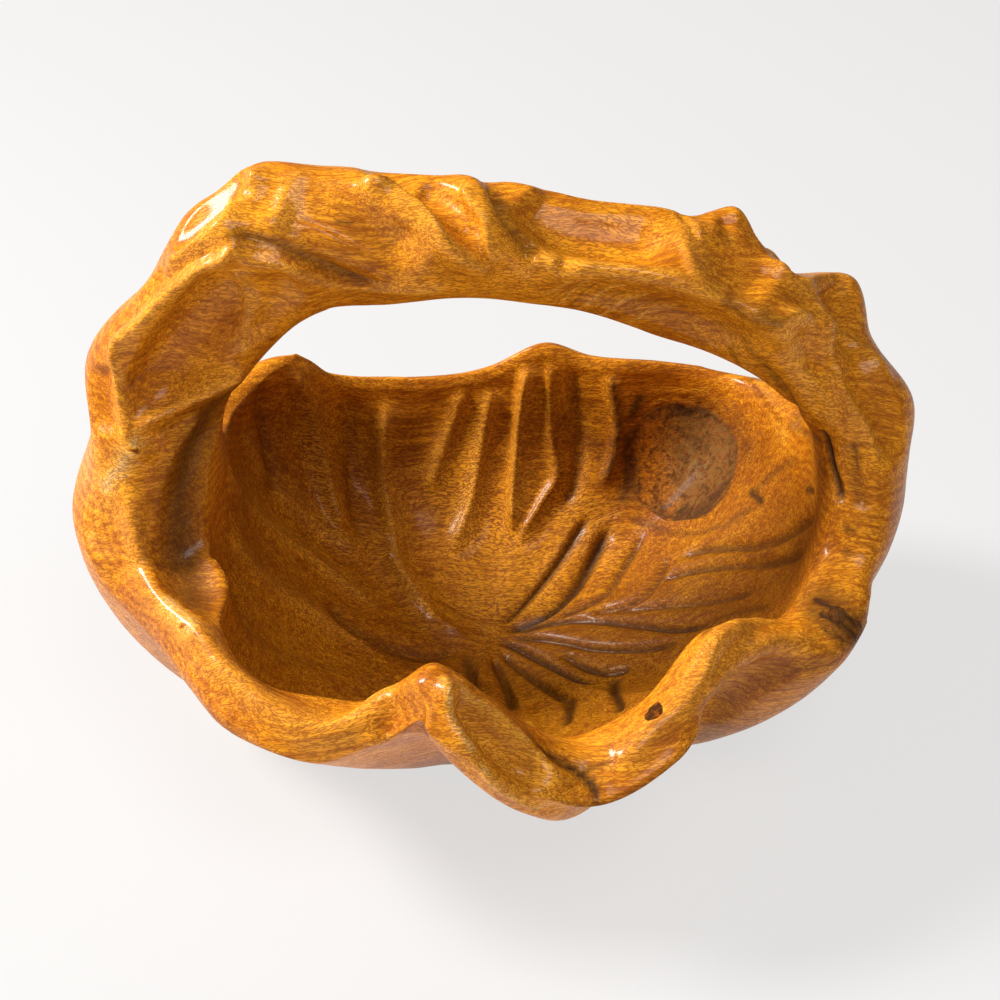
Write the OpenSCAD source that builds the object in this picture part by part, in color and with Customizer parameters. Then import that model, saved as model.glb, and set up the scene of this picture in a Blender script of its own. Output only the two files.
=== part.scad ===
// Carved hardwood basket bowl: an oval fluted bowl with a scalloped rim and a twisted hoop handle.
// Millimetres, +Z up, origin at the middle of the flat foot, +Y towards the back rim.

/* [Bowl] */
// Long half-axis of the flat foot, along X
foot_x = 84; // [60:1:92]
// Short half-axis of the flat foot, along Y
foot_y = 44; // [34:1:48]
// How far the middle of the rim lies in front of the middle of the foot
rim_lead = 10; // [0:1:16]
// Thickness of the wood under the lowest point of the floor
floor_t = 14; // [10:1:24]
// How far the lowest point of the floor lies behind the middle of the foot
floor_back = 14; // [0:1:20]
// How far the lowest point of the floor lies to the left of the middle of the foot
floor_left = 4; // [0:1:10]
// How much lower the outer shoulder of the rim lies than its crest
shoulder_drop = 9; // [3:0.5:14]
// How much lower the inner edge of the rim lies than its crest
lip_drop = 4; // [1:0.5:8]
// How far the back of the outer wall swells out, which leaves wood behind the knot
back_swell = 8; // [6:0.5:10]

/* [Carving] */
// Number of flutes that fan out over the inside
flute_count = 24; // [12:1:36]
// Depth of the inside flutes
flute_depth = 2.4; // [0:0.1:4]
// Number of broad hollows round the outside
hollow_count = 10; // [5:1:16]
// Depth of the outside hollows
hollow_depth = 4; // [0:0.1:6]
// How far the tongue at the front stands out of the wall
tongue_reach = 16; // [0:0.5:18]

/* [Handle] */
// Height of the two flat seats that carry the handle
seat_z = 102; // [94:1:108]
// Half width of the left seat, across the rim
left_seat_w = 27; // [23:0.5:29]
// Half width of the right seat, across the rim
right_seat_w = 18; // [16:0.5:20]
// Rise of the handle's middle line above the seats
handle_rise = 106; // [80:1:140]
// Scale of the ridges and valleys that twist round the handle
ridge_scale = 1; // [0:0.1:1.5]

/* [Joint] */
// Diameter of the dowel in each end of the handle
dowel_d = 14; // [8:0.5:18]
// Depth of the dowel in the bowl and in the handle
dowel_depth = 24; // [14:1:30]
// Radial clearance of a dowel in its hole, filled with glue
dowel_clearance = 0.1; // [0.05:0.05:0.3]
// Gap between a dowel's end and the bottom of its hole
dowel_end_gap = 1; // [0.5:0.5:3]

/* [Knots] */
// Diameter of the encased knot in the back wall
knot_d = 42; // [20:1:44]
// Thickness of the bark and resin round that knot
bark_t = 2.5; // [1.5:0.5:3]
// Depth of that knot below the carved surface
knot_depth = 2.5; // [1.5:0.5:3]
// Diameter of the small knot in the rim
rim_knot_d = 10; // [6:0.5:12]
// Depth of the small knot
rim_knot_depth = 5; // [3:0.5:7]
// Diameter of the filled pit in the front rim
pit_d = 8; // [4:0.5:9]
// Depth of the filled pit
pit_depth = 3.5; // [2:0.5:5]
// Gap round each knot or filling
plug_clearance = 0.15; // [0.05:0.05:0.4]

/* [Hidden] */

// Steps round the bowl, and rows up the outside, over the rim and down the inside
columns = 144;
outer_rows = 9;
rim_rows = 6;
inner_rows = 16;
rim_start = outer_rows;
inner_start = outer_rows + rim_rows;

// Each seat spans the same number of columns, from its start onwards
seat_columns = 16;
left_start = 64;
right_start = -7;
// Angle over which the rounded rim flattens towards a seat
seat_blend = 16;

// Rim stations: angle, radius of the crest line, height of the crest, widths inwards and outwards of it
front_rim = [
    [step_angle(left_start + seat_columns), 129, seat_z, 22, 17],
    [208, 130, 101, 24, 10.5],
    [217, 128, 98, 11, 10.5],
    [228, 129, 92, 9, 11],
    [237, 126.5, 86, 19, 8],
    [243, 122, 84, 22, 6],
    [250, 111, 92, 17, 8],
    [259, 108, 108, 7, 9],
    [281, 108, 76, 8, 21],
    [297, 111, 84, 9, 17],
    [314, 106, 98, 8, 7],
    [328, 120, 93, 10, 17],
    [336, 126, 97, 12, 15],
    [360 + step_angle(right_start), 127, seat_z, 12, 11.5],
];
back_rim = [
    [step_angle(right_start + seat_columns), 130, seat_z, 11, 15],
    [34, 131, 99, 6, 13],
    [46, 127, 94, 3, 11],
    [62, 106, 98, 2, 11],
    [70, 101.5, 98.5, 2, 11],
    [80, 98, 103.5, 2, 11],
    [92, 97, 92.5, 2, 11],
    [100, 97, 89.5, 2, 11],
    [112, 102.5, 88.5, 2, 11],
    [125.5, 114, 92, 2, 11],
    [133, 121, 105, 3, 12],
    [146, 127, 101, 9, 14],
    [step_angle(left_start), 125, seat_z, 17, 19],
];
// How much narrower the right seat is inwards than outwards
right_seat_cut = 4;
// Power of the rim's rounded top: 2 is a parabola
rim_power = 1.7;

// Roundness of the walls, from 0 for straight to 1 for a quarter ellipse
front_outer_round = 0.1;
side_outer_round = 0.75;
back_outer_round = 0.95;
front_inner_round = 0.8;
right_inner_round = 0.78;
// Power that spreads the steep outer wall of the front towards the sides
steep_power = 1.2;

// Powers that move the deepest or fullest height of the carving up or down the wall
flute_power = 0.75;
hollow_power = 1.3;
swell_power = 1.8;
// Share by which the hollows are shallower at the back
back_hollow_loss = 0.7;

// The tongue leans from the peak's angle to its end's angle, which lies lower on the wall
tongue_peak_angle = 262;
tongue_end_angle = 286;
tongue_width = 11;
// Shares of the wall's height where the tongue starts, is fullest, starts to thin and reaches the rim
tongue_heights = [0.3, 0.7, 0.8, 1];
// Share of its reach that the tongue loses at the rim
tongue_thinning = 0.65;
// Angle of the hollow to the left of the tongue
scoop_angle = 245;

// Place of each knot and of the pit: angle round the bowl and row of the carved skin
knot_place = [47.5, inner_start + 4];
rim_knot_place = [332.5, rim_start + 2];
pit_place = [297.5, rim_start + 3];
// Room above a knot for the carved surface round it
knot_headroom = 14;

// Handle stations: middle of the bar, as X, Y and share of the rise above the seats,
// then its reach outwards, inwards, to the front and to the back
handle_line = [
    [-123, -2, 0.23, left_seat_w - 2, left_seat_w - 2, 28, 26],
    [-116, 0, 0.48, 24.5, 24, 24, 22],
    [-92, 0, 0.83, 22, 27, 22, 21],
    [-66, 0, 1, 22, 28, 22, 20],
    [-36, 0, 1, 20, 25, 20, 20],
    [-5, 0, 0.97, 21.5, 19, 19, 20],
    [28, 0, 0.915, 19, 18, 20, 20],
    [58, 0, 0.86, 20.5, 23, 20, 21],
    [82, 1, 0.755, 19, 21, 22, 22],
    [105, 3, 0.55, 12.5, 16, 22, 34],
    [124, 4, 0.31, right_seat_w + 1, right_seat_w - 2, 27, 34],
];
spans_per_station = 5;
// Reach of the bar to the front and back where it leaves a seat
seat_reach = 42;
// Stations over which a root changes from the seat's outline to the bar's section, and its flare
root_length = 1.4;
root_flare = 2.8;
// Places of the rings between a seat and the first station
root_stops = [0.2, 0.5, 1, 1.6, 2.4, 3.2, 4.1];
// Angle round the bar that is taken by each end of a seat's outline
seat_end_turn = 60;

// Ridges (positive) and valleys (negative) along the handle: stations, angle, height, width
handle_strokes = [
    // ridge up the left limb, and the broad hollow panel beside it
    [[0.6, 24, 2, 30], [1.5, 34, 4, 28], [2.4, 46, 4, 26], [3.5, 44, 5, 24], [4, 34, 2, 22]],
    [[1.3, -10, 0, 40], [2.2, 0, -5, 36], [2.7, 2, -6, 34], [3.3, 2, -5, 30], [3.8, 0, 0, 26]],
    // outer corners of the left limb
    [[1.4, 84, 0, 30], [2, 84, 3, 26], [2.6, 90, 0, 30]],
    [[0.2, 90, 0, 40], [0.8, 90, -3, 38], [1.4, 88, -6, 34], [1.85, 86, 0, 28]],
    [[2.2, 100, 0, 28], [2.6, 104, -3, 26], [3, 108, 0, 26]],
    [[2.6, 116, 0, 30], [3.2, 116, 4, 30], [3.8, 112, 0, 28]],
    [[3.2, 112, 0, 30], [3.75, 112, 5, 28], [4.4, 100, 0, 26]],
    // crease under the top left facet
    [[3.7, 30, -1, 20], [4.1, 8, -4, 20], [4.6, -20, -4, 20], [5.3, -40, -2, 20]],
    // long ridge that leans over the front, and the valley above it
    [[4.2, 82, 0, 26], [4.6, 76, 3, 26], [5.25, 42, 4, 26], [5.75, 20, 4, 24], [6.2, 0, 3, 22]],
    [[4.5, 108, -2, 24], [5, 80, -4, 24], [5.5, 60, -3, 24], [6, 44, -1, 22]],
    // short ridge at the middle, and the hollow that follows it to the right
    [[5.4, 100, 2, 24], [5.8, 76, 4, 24], [6.2, 30, 4, 24], [6.6, 5, 2, 24]],
    [[5.6, 124, -2, 26], [6.1, 90, -4, 26], [6.6, 56, -5, 26], [7.9, 62, -4, 30], [8.3, 66, -1, 30]],
    // ridge along the right half, and the hollow under it
    [[6.3, 14, 3, 20], [6.6, 16, 4, 18], [8.3, 20, 3, 22],
     [9.2, 30, 4, 24], [9.9, 70, 3, 24], [10.3, 90, 1, 24]],
    [[6.5, -30, -2, 26], [7.4, -26, -3, 30], [8.5, -20, -3, 30], [9.2, -15, -1, 30]],
    // corners of the right limb, the shoulder behind it and the valley between
    [[7.95, 112, 0, 32], [8.5, 112, 7, 28], [9, 112, 0, 30]],
    [[10.4, 70, 1, 26], [11, 80, 3, 24], [11.5, 84, 1, 26]],
    [[9.4, 140, 0, 26], [9.9, 136, 8, 26], [10.3, 134, 16, 26], [10.65, 138, 5, 26], [11, 144, 0, 28]],
    [[9.6, 96, -1, 24], [10.2, 100, -5, 24], [10.8, 108, -2, 24]],
    // ridge and valley along the back
    [[1, 180, 1, 30], [2.5, 205, 3, 26], [4, 180, 3, 26],
     [6, 210, 3, 26], [8, 190, 3, 26], [9.5, 200, 1, 26]],
    [[1.5, 240, -1, 26], [3.5, 235, -3, 26], [5.5, 150, -3, 26], [7.5, 235, -3, 26], [9.5, 240, -1, 26]],
];
// Stations over which a stroke fades in and out
stroke_fade = 0.55;
// Spread of a stroke beside its middle, in its own widths
stroke_spread = 1.7;

function step_angle(i) = 360 * i / columns;
function smooth(t) = t * t * (3 - 2 * t);
function mix(a, b, t) = a + (b - a) * t;
function clamp(x) = max(0, min(1, x));
function unit(v) = v / norm(v);
function last(list) = list[len(list) - 1];
function sum(list, k = 0) = k >= len(list) ? 0 : list[k] + sum(list, k + 1);
function mean(ring, k = 0) =
    let (share = ring[k] / len(ring))
    k == len(ring) - 1 ? share : share + mean(ring, k + 1);
function turn_apart(a, b) = let (d = abs(a - b) % 360) min(d, 360 - d);

// Cubic through a list of stations whose first entry is the place along it
function slope(list, i) =
    let (a = max(i - 1, 0), b = min(i + 1, len(list) - 1))
    (list[b] - list[a]) / (list[b][0] - list[a][0]);
function through(list, x) =
    let (
        i = max([for (j = [0:len(list) - 2]) list[j][0] <= x ? j : 0]),
        h = list[i + 1][0] - list[i][0],
        t = clamp((x - list[i][0]) / h)
    )
    mix(list[i], list[i + 1], smooth(t))
        + t * (1 - t) * h * ((1 - t) * slope(list, i) - t * slope(list, i + 1));

// Rim at column i: crest radius, crest height, widths inwards and outwards, and 1 away from the seats
function in_seat(i, start) = i >= start && i <= start + seat_columns;
function rim(i) =
    i >= right_start + columns ? rim(i - columns) :
    in_seat(i, left_start) ? seat_rim(i, left_start, last(back_rim), front_rim[0], left_widths) :
    in_seat(i, right_start) ? seat_rim(i, right_start, last(front_rim), back_rim[0], right_widths) :
    let (
        list = i > left_start ? front_rim : back_rim,
        a = step_angle(i),
        v = through(list, a),
        away = min(a - list[0][0], last(list)[0] - a)
    )
    [v[1], v[2], v[3], v[4], smooth(clamp(away / seat_blend))];
function seat_rim(i, start, from, to, widths) =
    let (
        t = (i - start) / seat_columns,
        inwards = mix(mix(from[3], to[3], t), widths[0], sin(180 * t)),
        outwards = mix(mix(from[4], to[4], t), widths[1], sin(180 * t))
    )
    [mix(from[1], to[1], smooth(t)), seat_z, inwards, outwards, 0];
left_widths = [left_seat_w, left_seat_w];
right_widths = [right_seat_w - right_seat_cut, right_seat_w];

floor_point = [-floor_left, floor_back, floor_t];
rim_middle = [0, -rim_lead, 0];
function foot_point(a) =
    let (r = foot_x * foot_y / norm([foot_y * cos(a), foot_x * sin(a)]))
    [r * cos(a), r * sin(a), 0];

// The front tongue: a thick fold of wood that leans from the front peak to the dip beside it
function tongue(a, t) =
    let (
        h = tongue_heights,
        lean = clamp((2 * t - h[1] - h[0]) / (2 * h[3] - h[1] - h[0])),
        line = mix(tongue_end_angle, tongue_peak_angle, lean),
        start = smooth(clamp((t - h[0]) / (h[1] - h[0]))),
        thin = tongue_thinning * smooth(clamp((t - h[2]) / (h[3] - h[2])))
    )
    tongue_reach * start * (1 - thin) * exp(-pow(turn_apart(a, line) / tongue_width, 2));

// At the front the outer wall is nearly straight, and the inner wall follows it
function frontness(a, power = 2) = pow(max(0, -sin(a)), power);
function rightness(a) = pow(max(0, cos(a)), 2);
function backness(a) = max(0, sin(a));
function outer_round(a) =
    let (behind = mix(side_outer_round, back_outer_round, backness(a)))
    mix(behind, front_outer_round, frontness(a, steep_power));
function inner_round(a) = mix(mix(1, right_inner_round, rightness(a)), front_inner_round, frontness(a));
// Share of the way out and share of the way up along a wall of a given roundness
function wall_out(t, roundness) = mix(t, sin(90 * t), roundness);
function wall_up(t, roundness) = mix(t, 1 - cos(90 * t), roundness);

// One radial section of the bowl, from the edge of the foot to the middle of the floor
function outer_wall(a, outer) =
    [for (j = [0:outer_rows - 1])
        let (
            t = j / outer_rows,
            hollow = hollow_depth * (1 - back_hollow_loss * backness(a)) * sin(180 * pow(t, hollow_power))
                * pow(cos(hollow_count * (a - scoop_angle) / 2), 2),
            swell = back_swell * backness(a) * sin(180 * pow(t, swell_power)) + tongue(a, t),
            flat = mix(foot_point(a), [outer[0], outer[1], 0], wall_out(t, outer_round(a)))
        )
        flat + [0, 0, outer[2] * wall_up(t, outer_round(a))] + (swell - hollow) * [cos(a), sin(a), 0]];
function rim_top(outer, crest, inner) =
    [for (j = [0:rim_rows])
        let (
            off = 2 * j / rim_rows - 1,
            edge = off < 0 ? outer : inner,
            flat = mix(crest, edge, abs(off))
        )
        [flat[0], flat[1], mix(crest[2], edge[2], pow(abs(off), rim_power))]];
function inner_wall(a, inner) =
    [for (j = [1:inner_rows - 1])
        let (
            t = 1 - j / inner_rows,
            flute = flute_depth * sin(180 * pow(1 - t, flute_power)) * abs(sin(flute_count * a / 2)),
            flat = mix(floor_point, inner, wall_out(t, inner_round(a))),
            away = unit([inner[0] - floor_point[0], inner[1] - floor_point[1], 0])
        )
        [flat[0], flat[1], mix(floor_t, inner[2], wall_up(t, inner_round(a)))]
            + flute * (away * sin(90 * t) - [0, 0, cos(90 * t)])];
function section(i) =
    let (
        a = step_angle(i),
        v = rim(i),
        out = [cos(a), sin(a), 0],
        crest = rim_middle + out * v[0] + [0, 0, v[1]],
        outer = crest + out * (v[3] + tongue(a, 1)) - [0, 0, shoulder_drop * v[4]],
        inner = crest - out * v[2] - [0, 0, lip_drop * v[4]]
    )
    concat(outer_wall(a, outer), rim_top(outer, crest, inner), inner_wall(a, inner));

// Closed skin of a stack of equal rings with a point at each end. Each four-sided patch is split
// between the two corners that lie most alike from the middle of their rings, along ridges and valleys.
function reach_of(ring) = let (middle = mean(ring)) [for (p = ring) norm(p - middle)];
function ring_faces(rings) =
    let (n = len(rings[0]), reach = [for (r = rings) each reach_of(r)])
    [for (j = [0:len(rings) - 2], i = [0:n - 1], half = [0, 1])
        let (k = (i + 1) % n, a = j * n + i, b = j * n + k, c = a + n, d = b + n)
        abs(reach[a] - reach[d]) < abs(reach[b] - reach[c])
            ? (half == 0 ? [a, b, d] : [a, d, c])
            : (half == 0 ? [a, b, c] : [b, d, c])];
function cap_faces(start, n, tip, flip) =
    [for (i = [0:n - 1])
        let (a = start + i, b = start + (i + 1) % n)
        flip ? [tip, a, b] : [tip, b, a]];

module stack(rings, first_tip, last_tip) {
    n = len(rings[0]);
    points = concat([for (r = rings) each r], [first_tip, last_tip]);
    polyhedron(points, concat(
        ring_faces(rings),
        cap_faces(0, n, len(points) - 2, false),
        cap_faces((len(rings) - 1) * n, n, len(points) - 1, true)
    ), convexity = 8);
}

module bowl_blank() {
    sections = [for (i = [0:columns - 1]) section(i)];
    rings = [for (j = [0:len(sections[0]) - 1]) [for (i = [columns - 1:-1:0]) sections[i][j]]];
    stack(rings, [0, 0, 0], floor_point);
}

// Outline of a seat, from the middle of its front end: outwards, back, inwards and to the front again
function seat_column(start, front_first, k) = front_first ? start + k : start + seat_columns - k;
function seat_point(i, t) =
    let (v = rim(i), a = step_angle(i), r = v[0] + t * (t < 0 ? v[2] : v[3]))
    rim_middle + [r * cos(a), r * sin(a), seat_z];
function seat_outline(start, front_first) =
    let (
        half = rim_rows / 2,
        front = seat_column(start, front_first, 0),
        back = seat_column(start, front_first, seat_columns)
    )
    concat(
        [for (j = [0:half - 1]) seat_point(front, j / half)],
        [for (k = [0:seat_columns - 1]) seat_point(seat_column(start, front_first, k), 1)],
        [for (j = [0:rim_rows - 1]) seat_point(back, 1 - j / half)],
        [for (k = [0:seat_columns - 1]) seat_point(seat_column(start, front_first, seat_columns - k), -1)],
        [for (j = [0:half - 1]) seat_point(front, -1 + j / half)]
    );
left_seat = seat_outline(left_start, false);
right_seat = seat_outline(right_start, true);
left_middle = mean(left_seat);
right_middle = mean(right_seat);

// Middle line of the bar with its reaches, from seat to seat
function raised(h) = [h[0], h[1] - rim_lead, seat_z + handle_rise * h[2], h[3], h[4], h[5], h[6]];
full_line = concat(
    [concat([0], left_middle, [left_widths[1], left_widths[0], seat_reach, seat_reach])],
    [for (k = [0:len(handle_line) - 1]) concat([k + 1], raised(handle_line[k]))],
    [concat([len(handle_line) + 1], right_middle, [right_widths[1], right_widths[0], seat_reach, seat_reach])]
);
stations = len(full_line) - 1;
steps = spans_per_station * stations;
function bar(k) = through(full_line, k / spans_per_station);
function place(k) = let (b = bar(k)) [b[1], b[2], b[3]];

// Angle round the bar of each outline point: 0 at the front, 90 outwards
function loop_angle(i) =
    let (
        half = rim_rows / 2,
        end_step = seat_end_turn / rim_rows,
        side_step = (180 - seat_end_turn) / seat_columns,
        k = i - half
    )
    i < half ? end_step * i :
    k < seat_columns ? seat_end_turn / 2 + side_step * k :
    k < seat_columns + rim_rows ? 180 - seat_end_turn / 2 + end_step * (k - seat_columns) :
    k < 2 * seat_columns + rim_rows ? 180 + seat_end_turn / 2 + side_step * (k - seat_columns - rim_rows) :
    360 - seat_end_turn / 2 + end_step * (k - 2 * seat_columns - rim_rows);

function stroke_height(path, s, a) =
    s < path[0][0] || s > last(path)[0] ? 0 :
    let (
        v = through(path, s),
        ends = clamp((s - path[0][0]) / stroke_fade) * clamp((last(path)[0] - s) / stroke_fade)
    )
    v[2] * smooth(ends) * (1 - smooth(clamp(turn_apart(a, v[1]) / (stroke_spread * v[3]))));
function relief(s, a) = ridge_scale * sum([for (path = handle_strokes) stroke_height(path, s, a)]);

// One ring of the bar, square to its middle line
function bar_ring(k) =
    let (
        b = bar(k),
        ahead = unit(place(min(k + 0.5, steps)) - place(max(k - 0.5, 0))),
        front = unit([0, -1, 0] - ahead * (ahead * [0, -1, 0])),
        out = cross(front, ahead)
    )
    [for (i = [0:len(left_seat) - 1])
        let (
            a = loop_angle(i),
            h = relief(k / spans_per_station, a),
            f = cos(a) > 0 ? b[6] : b[7],
            o = sin(a) > 0 ? b[4] : b[5]
        )
        place(k) + front * cos(a) * (f + h) + out * sin(a) * (o + h)];

// The roots swell out of the seats like a fillet
function root_share(x) = 1 - pow(1 - clamp(x / root_length), root_flare);
function handle_ring(k) =
    let (
        s = k / spans_per_station,
        ring = bar_ring(k),
        left = s < stations / 2,
        seat = left ? left_seat : right_seat,
        middle = left ? left_middle : right_middle,
        share = root_share(left ? s : stations - s)
    )
    [for (i = [0:len(ring) - 1]) mix(place(k) + seat[i] - middle, ring[i], share)];

module handle_blank() {
    stops = concat(
        root_stops,
        [for (k = [spans_per_station:steps - spans_per_station]) k],
        [for (k = [len(root_stops) - 1:-1:0]) steps - root_stops[k]]
    );
    stack(concat([left_seat], [for (k = stops) handle_ring(k)], [right_seat]), left_middle, right_middle);
}

// Dowels stand upright through the middle of each seat
module dowel_at(middle, clearance, end_gap) {
    reach = dowel_depth + end_gap;
    translate([middle[0], middle[1], seat_z - reach])
        cylinder(d = dowel_d + 2 * clearance, h = 2 * reach, $fn = 48);
}
module dowel_holes() {
    for (middle = [left_middle, right_middle])
        dowel_at(middle, dowel_clearance, dowel_end_gap);
}

// Frame whose Z axis leaves the wood at a place on the carved skin
function skin(i, j) = section(i % columns)[j];
function skin_normal(i, j) = unit(cross(skin(i + 2, j) - skin(i - 2, j), skin(i, j + 1) - skin(i, j - 1)));
module facing(spot) {
    i = round(columns * spot[0] / 360);
    n = skin_normal(i, spot[1]);
    translate(skin(i, spot[1])) rotate([0, acos(n[2]), atan2(n[1], n[0])]) children();
}

// A round space for a plug of wood, flat below and open above
module plug_space(d, depth) {
    translate([0, 0, -depth]) cylinder(d = d, h = depth + knot_headroom, $fn = 64);
}
// A plug is cut from the same blank as the bowl, so its top ends in the carved surface
module plug(spot, d, depth) {
    intersection() {
        bowl_blank();
        facing(spot) plug_space(d - 2 * plug_clearance, depth);
    }
}

bark_d = knot_d + 2 * bark_t;

module bowl() {
    color("peru") difference() {
        bowl_blank();
        dowel_holes();
        facing(knot_place) plug_space(bark_d, knot_depth);
        facing(rim_knot_place) plug_space(rim_knot_d, rim_knot_depth);
        facing(pit_place) plug_space(pit_d, pit_depth);
    }
}

module handle() {
    color("chocolate") difference() {
        handle_blank();
        dowel_holes();
    }
}

module left_dowel() {
    color("burlywood") dowel_at(left_middle, 0, 0);
}

module right_dowel() {
    color("burlywood") dowel_at(right_middle, 0, 0);
}

module wall_knot() {
    color("saddlebrown") plug(knot_place, knot_d, knot_depth);
}

module knot_bark() {
    color([0.12, 0.08, 0.05]) difference() {
        plug(knot_place, bark_d, knot_depth);
        facing(knot_place) plug_space(knot_d, knot_depth + 1);
    }
}

module rim_knot() {
    color("saddlebrown") plug(rim_knot_place, rim_knot_d, rim_knot_depth);
}

module pit_filler() {
    color([0.12, 0.08, 0.05]) plug(pit_place, pit_d, pit_depth);
}

bowl();
handle();
left_dowel();
right_dowel();
wall_knot();
knot_bark();
rim_knot();
pit_filler();
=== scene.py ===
"""Carved basket bowl: carved wood, lacquer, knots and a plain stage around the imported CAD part."""

import math

import bmesh
import bpy
import numpy as np
from bpy.props import FloatProperty, FloatVectorProperty, PointerProperty
from bpy.types import Operator, Panel, PropertyGroup
from mathutils import Color, Matrix, Vector, noise
from mathutils.bvhtree import BVHTree


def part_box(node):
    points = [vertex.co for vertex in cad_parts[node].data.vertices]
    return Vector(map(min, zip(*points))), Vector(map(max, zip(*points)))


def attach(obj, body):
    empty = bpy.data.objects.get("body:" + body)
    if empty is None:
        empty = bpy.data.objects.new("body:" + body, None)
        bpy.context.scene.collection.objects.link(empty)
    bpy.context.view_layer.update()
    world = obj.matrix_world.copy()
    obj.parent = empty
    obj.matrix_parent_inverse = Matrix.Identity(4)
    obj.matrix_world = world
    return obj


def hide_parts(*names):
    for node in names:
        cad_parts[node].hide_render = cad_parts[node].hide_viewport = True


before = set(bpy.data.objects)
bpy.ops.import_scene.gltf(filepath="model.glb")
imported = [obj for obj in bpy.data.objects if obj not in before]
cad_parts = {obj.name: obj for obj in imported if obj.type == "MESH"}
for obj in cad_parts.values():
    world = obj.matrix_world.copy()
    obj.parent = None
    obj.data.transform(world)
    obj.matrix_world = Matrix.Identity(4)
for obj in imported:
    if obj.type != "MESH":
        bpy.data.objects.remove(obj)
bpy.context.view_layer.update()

bl_info = {
    "name": "Carved basket bowl",
    "version": (1, 0, 0),
    "blender": (4, 5, 0),
    "location": "View3D > Sidebar > Basket bowl",
    "description": "Carves the wooden bowl and its handle and sets them on a plain stage",
    "category": "Object",
}

MM = 0.001

# Camera: the photograph is 1000 pixels wide and high, seen from 36 degrees above the table
VIEW_RISE = math.radians(36)
VIEW_DISTANCE = 850.0
VIEW_TARGET = Vector((0, -10, 98))
VIEW_PIXELS = 1000
VIEW_FOCAL = 2354.0
SENSOR = 36.0

# The bowl's own sizes, as in the part's source, in millimetres and degrees
FOOT = (84.0, 44.0)
RIM_LEAD = 10.0
BOWL_FLOOR = np.array([-4.0, 14.0, 14.0])
SHOULDER_DROP = 9.0
LIP_DROP = 4.0
BACK_SWELL = 8.0
SEAT_Z = 102.0
SEAT_TURN = 40.0
LEFT_SEAT = 160.0
RIGHT_SEAT = -17.5
LEFT_SEAT_W = 27.0
RIGHT_SEAT_W = 18.0
RIGHT_SEAT_CUT = 4.0
HANDLE_RISE = 106.0
SEAT_BLEND = 16.0

# How round the walls are, from 0 for straight to 1 for a quarter circle, how fast the front gets
# steep, and how the rim falls away from its crest
OUTER_ROUND = {"side": 0.75, "back": 0.95, "front": 0.1}
INNER_ROUND = {"left": 1.0, "right": 0.78, "front": 0.8}
FRONT_STEEP = 1.2
CREST_BEND = 1.7
# Hollows outside, swell of the back and flutes inside. A bias above 1 moves them up the outside, and
# one below 1 moves them up the inside.
HOLLOW_COUNT = 10
HOLLOW_TURN = 245.0
HOLLOW_BIAS = 1.3
HOLLOW_LOSS_BEHIND = 0.7
SWELL_BIAS = 1.8
FLUTE_COUNT = 24
FLUTE_BIAS = 0.75
# Share of the way out from the middle of the floor over which the flutes set in
HUB = 0.4
# Tongue: reach, width, turn at the foot and at the rim, then from where on the wall and over how
# much of it the tongue sets in and thins out, and how much of it the thinning takes
TONGUE_REACH = 16.0
TONGUE_WIDTH = 11.0
TONGUE_TURNS = (286.0, 262.0)
TONGUE_START = (0.3, 0.4)
TONGUE_END = (0.8, 0.2)
TONGUE_LOSS = 0.65

# Rim stations: angle, radius of the crest line, height of the crest, widths inwards and outwards of it
FRONT_RIM = np.array([
    [200, 129, SEAT_Z, 22, 17],
    [208, 130, 101, 24, 10.5],
    [217, 128, 98, 11, 10.5],
    [228, 129, 92, 9, 11],
    [237, 126.5, 86, 19, 8],
    [243, 122, 84, 22, 6],
    [250, 111, 92, 17, 8],
    [259, 108, 108, 7, 9],
    [281, 108, 76, 8, 21],
    [297, 111, 84, 9, 17],
    [314, 106, 98, 8, 7],
    [328, 120, 93, 10, 17],
    [336, 126, 97, 12, 15],
    [342.5, 127, SEAT_Z, 12, 11.5],
])
BACK_RIM = np.array([
    [22.5, 130, SEAT_Z, 11, 15],
    [34, 131, 99, 6, 13],
    [46, 127, 94, 3, 11],
    [62, 106, 98, 2, 11],
    [70, 101.5, 98.5, 2, 11],
    [80, 98, 103.5, 2, 11],
    [92, 97, 92.5, 2, 11],
    [100, 97, 89.5, 2, 11],
    [112, 102.5, 88.5, 2, 11],
    [125.5, 114, 92, 2, 11],
    [133, 121, 105, 3, 12],
    [146, 127, 101, 9, 14],
    [160, 125, SEAT_Z, 17, 19],
])

# Handle stations: middle of the bar as X, Y and share of the rise, then its reach
# outwards, inwards, to the front and to the back
HANDLE_LINE = np.array([
    [-123, -2, 0.23, LEFT_SEAT_W - 2, LEFT_SEAT_W - 2, 28, 26],
    [-116, 0, 0.48, 24.5, 24, 24, 22],
    [-92, 0, 0.83, 22, 27, 22, 21],
    [-66, 0, 1, 22, 28, 22, 20],
    [-36, 0, 1, 20, 25, 20, 20],
    [-5, 0, 0.97, 21.5, 19, 19, 20],
    [28, 0, 0.915, 19, 18, 20, 20],
    [58, 0, 0.86, 20.5, 23, 20, 21],
    [82, 1, 0.755, 19, 21, 22, 22],
    [105, 3, 0.55, 12.5, 16, 22, 34],
    [124, 4, 0.31, RIGHT_SEAT_W + 1, RIGHT_SEAT_W - 2, 27, 34],
])
# Half the length of a seat, stations over which a root flares out to it, how fast it flares, and the
# turn round the bar that each end of a seat takes up
SEAT_REACH = 42.0
ROOT_LENGTH = 1.4
ROOT_FLARE = 2.8
SEAT_END_TURN = 60.0
# Stations ahead and behind that give the way the bar runs
STATION_STEP = 0.1

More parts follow.
